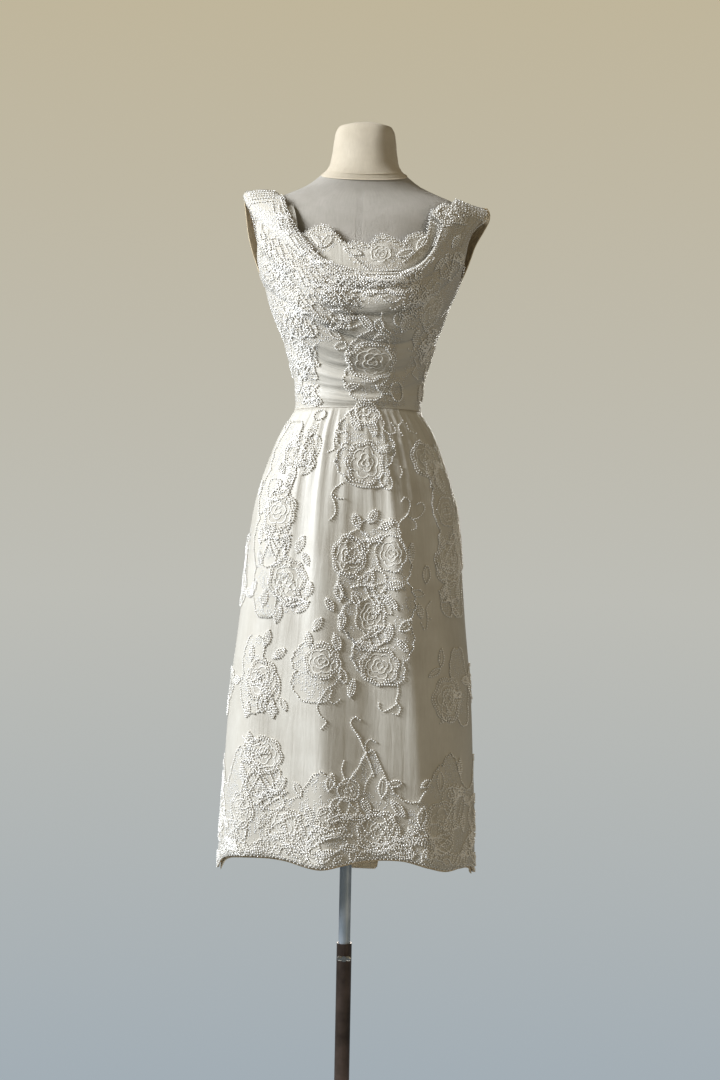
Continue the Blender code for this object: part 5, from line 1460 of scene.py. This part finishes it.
def spray(region, place, half_width, half_height, lobes, rows, satin, leaves):
    """A rose and leaves round it at even angles, a little astray, 13 mm past its edge and at most
    42 mm out. A leaf that would cross a side seam or the waist is left out."""
    rose(region, place, half_width, half_height, lobes, rows, satin)
    first = chance.uniform(0, 360)
    for k in range(leaves):
        direction = first + 360 / leaves * k + chance.uniform(-22, 22)
        towards = np.array([math.cos(math.radians(direction)), math.sin(math.radians(direction))])
        reach = 13 + half_width * abs(towards[0]) + half_height * abs(towards[1])
        azimuth, height = map(float, laid(place, towards * min(reach, 42)))
        if abs(abs(azimuth) - 90) < 4 or abs(azimuth - 270) < 4 or abs(height - WAIST_Z) < .012:
            continue
        leaf(region, (azimuth, height, direction), chance.uniform(24, 31), chance.uniform(11, 14), 2)


for region, sprays in BACK_ROSES.items():
    for azimuth, height, *shape in sprays:
        spray(region, (azimuth, height, 0.0), *shape)
BACK_WANDERS = {  # azimuth, height, half width and height in mm, metres of pearls
    "skirt_back": [
        (177, 1.230, 22, 44, .4), (186, 1.010, 44, 56, .8), (183, .905, 40, 34, .5),
        (229, 1.150, 34, 56, .7), (226, 1.020, 34, 44, .5), (128, 1.150, 34, 56, .7),
        (132, 1.020, 34, 44, .5)],
    "hem_back": [
        (103, .620, 40, 40, .6), (128, .625, 50, 44, .7), (156, .630, 52, 44, .7), (184, .632, 50, 44, .7),
        (211, .630, 50, 42, .7), (236, .628, 50, 42, .7), (257, .620, 40, 40, .6)],
    "bodice_back": [
        (148, 1.470, 40, 44, .7), (212, 1.466, 40, 44, .7), (180, 1.420, 34, 34, .5),
        (126, 1.400, 24, 40, .4), (236, 1.400, 24, 40, .4)],
    "skirt_front": [
        (80, 1.100, 22, 60, .4), (-80, 1.060, 22, 60, .4)],
    "hem_front": [
        (78, .610, 34, 34, .5), (-80, .610, 34, 34, .5)]}
for region, rows in BACK_WANDERS.items():
    for azimuth, height, half_width, half_height, metres in rows:
        wander(region, (azimuth, height, 0.0), half_width, half_height, metres)
share = np.linspace(.02, .98, 300)
back_azimuth = 132 + 96 * share
edging("bodice_back", back_azimuth, back_neck(share) - .0012)
edging("bodice_back", back_azimuth, back_neck(share) - .0060, side=-1, radius=1.3)
counts = [sum(map(len, table.values())) for table in (BACK_ROSES, BACK_WANDERS)]
print(counts[0], "roses and", counts[1], "wandering rows on the sides and back")

# %% Where the silk is thick with seed beads
BARE_BODICE = [  # pixel, half width and height in mm of the ovals of bare silk
    (382, 316, 36, 24), (353, 332, 22, 15), (338, 374, 42, 54), (404, 352, 14, 40), (322, 243, 40, 22),
    (340, 400, 38, 18), (411, 390, 18, 34)]


def within(points, azimuth, height, half_width, half_height):
    """1 inside an oval on the cloth and 0 outside it, eased between four fifths and six fifths of it."""
    per_degree, per_metre = steps(azimuth, height)
    u = (points[:, 0] - azimuth) * per_degree * 1000 / half_width
    v = (points[:, 1] - height) * per_metre * 1000 / half_height
    return 1 - ease(np.hypot(u, v), .8, 1.2)


def mark(made, density):
    """Write the density of the lace on every point of a shell, for its finish to read."""
    layer = made.data.attributes.new("lace", "FLOAT", "POINT")
    layer.data.foreach_set("value", np.clip(density, 0, 1).astype(np.float32))
    print(made.name, "is covered over", round(float(density.mean()) * 100), "% of its points")


def in_ovals(made, ovals):
    """1 at the points of a shell inside any of some ovals, 0 outside them all, and eased between."""
    return np.max([within(places[made.name], *oval) for oval in ovals], axis=0)


def seen_ovals(rows):
    """Ovals on the cloth from rows of a pixel, and half the width and height in millimetres."""
    return [(*seen_at(px, py), half_width, half_height) for px, py, half_width, half_height in rows]


for made, regions in ((skirt_front, ("skirt_front", "hem_front")), (skirt_back, ("skirt_back", "hem_back")),
                      (plain_back, ("bodice_back",))):
    ovals = [oval for region in regions for oval in seen_ovals(row[:4] for row in WANDERS.get(region, ()))]
    ovals += [row[:4] for region in regions for row in BACK_WANDERS.get(region, ())]
    mark(made, in_ovals(made, ovals))
bare = in_ovals(draped_front, seen_ovals(BARE_BODICE))
mark(draped_front, (1 - bare) * ease(places[draped_front.name][:, 1], 1.308, 1.322))
mark(neckline_inset, in_ovals(neckline_inset, seen_ovals([(384, 250, 56, 40), (316, 236, 36, 34)])))

# %% [markdown]
# ## Turning baskets into meshes
# Thousands of pearls as separate objects would make the file slow, so all pearls of one region are one
# mesh: one twenty-sided ball copied by adding every centre to its points in a single step.


# %% Pearls, cords and petals as meshes
def on_cloth(region, at, lift_mm):
    """Places on the cloth or, for the inset, behind it, with the lift in millimetres."""
    lift = np.asarray(lift_mm, float) / 1000
    if region == "inset":
        return cloth(at[..., 0], at[..., 1], lift + INSET_LIFT, 0.0)
    return cloth(at[..., 0], at[..., 1], lift)


def ball():
    """A ball of twelve points and twenty faces."""
    shape = bmesh.new()
    bmesh.ops.create_icosphere(shape, subdivisions=1, radius=1.0)
    points = np.array([vertex.co for vertex in shape.verts])
    triangles = np.array([[vertex.index for vertex in face.verts] for face in shape.faces])
    shape.free()
    return points, triangles


def sew_on_pearls(region):
    """One mesh of all the pearls in a basket."""
    rows = np.concatenate(basket[region]["beads"])
    points, triangles = ball()
    centres = on_cloth(region, rows[:, :2], rows[:, 2])
    everything = centres[:, None] + points[None] * rows[:, 3, None, None] / 1000
    faces = triangles[None] + (np.arange(len(rows)) * len(points))[:, None, None]
    print(region, len(rows), "pearls")
    return put(region + "_pearls", everything.reshape(-1, 3), faces.reshape(-1, 3), PEARL, "figure")


def sew_on_cords(region, sides=5):
    """One mesh of all cords: rings of an ellipse about each path, flat side to the cloth, that shrink to
    a point at both ends."""
    points, faces, start = [], [], 0
    turn = np.arange(sides) * 2 * np.pi / sides
    for at, half_width, half_height, lift in basket[region]["cords"]:
        path = on_cloth(region, at, np.full(len(at), lift))
        normal = outward(at[:, 0], at[:, 1])
        tangent = np.gradient(path, axis=0)
        side = np.cross(tangent, normal)
        side /= np.maximum(np.linalg.norm(side, axis=1, keepdims=True), 1e-9)
        size = np.ones(len(path))
        size[[0, -1]] = 0
        around = (side[:, None] * (np.cos(turn) * half_width)[None, :, None]
                  + normal[:, None] * (np.sin(turn) * half_height)[None, :, None])
        points.append((path[:, None] + around * size[:, None, None] / 1000).reshape(-1, 3))
        faces.append(grid_triangles(len(path), sides, start, wrap=True)[:, ::-1])
        start += len(path) * sides
    points, faces = np.concatenate(points), np.concatenate(faces)
    print(region, len(basket[region]["cords"]), "cords,", len(faces), "triangles,",
          "volume", round(volume(points, faces) * 1e9), "cubic mm")
    return put(region + "_cords", points, faces, CORD, "figure", merge=True)


def sew_on_petals(region):
    """One mesh of all lace petals."""
    points, faces, start = [], [], 0
    for at, lift, wrap in basket[region]["petals"]:
        points.append(on_cloth(region, at, lift).reshape(-1, 3))
        rows, columns = at.shape[:2]
        faces.append(grid_triangles(rows, columns, start, wrap)[:, ::-1])
        start += rows * columns
    points, faces = np.concatenate(points), np.concatenate(faces)
    print(region, len(basket[region]["petals"]), "petals,", len(faces), "triangles")
    return put(region + "_petals", points, faces, LACE, "figure")


# %% Sewing it all on
sewn = {}
for region in REGIONS:
    sewn[region] = []
    if basket[region]["beads"]:
        sewn[region].append(sew_on_pearls(region))
    if basket[region]["cords"]:
        sewn[region].append(sew_on_cords(region))
    if basket[region]["petals"]:
        sewn[region].append(sew_on_petals(region))

# %% [markdown]
# ## Light, floor and camera
# One soft light stands high on the left, as a window would, with a weak one on the right so that the
# shaded side keeps its detail, and one behind that only the back sees. The camera stands level with the
# hips and is turned by about a degree.

# %% Camera
camera = bpy.data.objects.new("camera", bpy.data.cameras.new("camera"))
bpy.context.scene.collection.objects.link(camera)
camera.location = (CAMERA_X, -CAMERA_AWAY, CAMERA_Z)
camera.rotation_mode = "QUATERNION"
roll = Quaternion((0, 0, 1), math.radians(CAMERA_ROLL))
camera.rotation_quaternion = Vector((0, 1, 0)).to_track_quat("-Z", "Y") @ roll
camera.data.sensor_fit, camera.data.sensor_height = "VERTICAL", 36.0
camera.data.lens = FOCAL_PX / PICTURE_HEIGHT * 36
bpy.context.scene.camera = camera
print("lens", round(camera.data.lens, 1), "mm")


# %% Lights
def area_light(name, place, target, size, power, shade):
    """A square soft light at a place, turned towards a point."""
    made = bpy.data.objects.new(name, bpy.data.lights.new(name, "AREA"))
    bpy.context.scene.collection.objects.link(made)
    made.location = place
    made.rotation_euler = (Vector(target) - Vector(place)).to_track_quat("-Z", "Y").to_euler()
    made.data.size, made.data.energy, made.data.color = size, power, colour(shade)[:3]


area_light("window", (-3.35, -1.30, 2.85), (0, 0, 1.12), 1.3, 306, "#F1F6FD")
area_light("fill", (2.2, -2.2, 1.2), (0, 0, 1.1), 2.0, 17, "#F3DDB8")
area_light("back", (.3, 3.0, 1.9), (0, 0, 1.1), 1.6, 75, "#F7F4EE")
world = bpy.data.worlds.new("pale_studio")
world.use_nodes = True
bpy.context.scene.world = world
tree = world.node_tree
ray = node(tree, "ShaderNodeTexCoord").outputs["Generated"]
up = node(tree, "ShaderNodeSeparateXYZ", Vector=ray).outputs["Z"]
level = node(tree, "ShaderNodeMapRange", Value=up, _1=-.35, _2=.35)
shade = ramp(tree, level.outputs["Result"], (0, colour("#A0ACB5")), (.45, colour("#BDBDB6")),
             (1, colour("#C0B599")))
tree.links.new(shade, tree.nodes["Background"].inputs["Color"])
seen = node(tree, "ShaderNodeLightPath").outputs["Is Camera Ray"]
tree.links.new(node(tree, "ShaderNodeMapRange", Value=seen, _3=.35, _4=1.0).outputs["Result"],
               tree.nodes["Background"].inputs["Strength"])
bpy.context.scene.view_settings.view_transform = "Standard"
print("lights and world set")


# %% Floor
def floor(radius=.46, columns=96, rows=8):
    """A round pale floor under the stand: rings from its middle to its edge."""
    angle, share = np.meshgrid(np.arange(columns) * 2 * np.pi / columns, np.linspace(.001, 1, rows))
    points = np.stack([radius * share * np.cos(angle), radius * share * np.sin(angle), 0 * angle - .0005], -1)
    triangles = grid_triangles(rows, columns, wrap=True)[:, ::-1]
    mesh = bpy.data.meshes.new("floor")
    mesh.from_pydata(points.reshape(-1, 3).tolist(), [], triangles.tolist())
    made = bpy.data.objects.new("floor", mesh)
    bpy.context.scene.collection.objects.link(made)
    matt, tree, shader = finish("pale_matt_floor", .9)
    shader.inputs["Base Color"].default_value = colour("#D9D7D2")
    mesh.materials.append(matt)


floor()

# %% [markdown]

# %% The scene is built
print("scene built")

# %% End
print("end of the script")
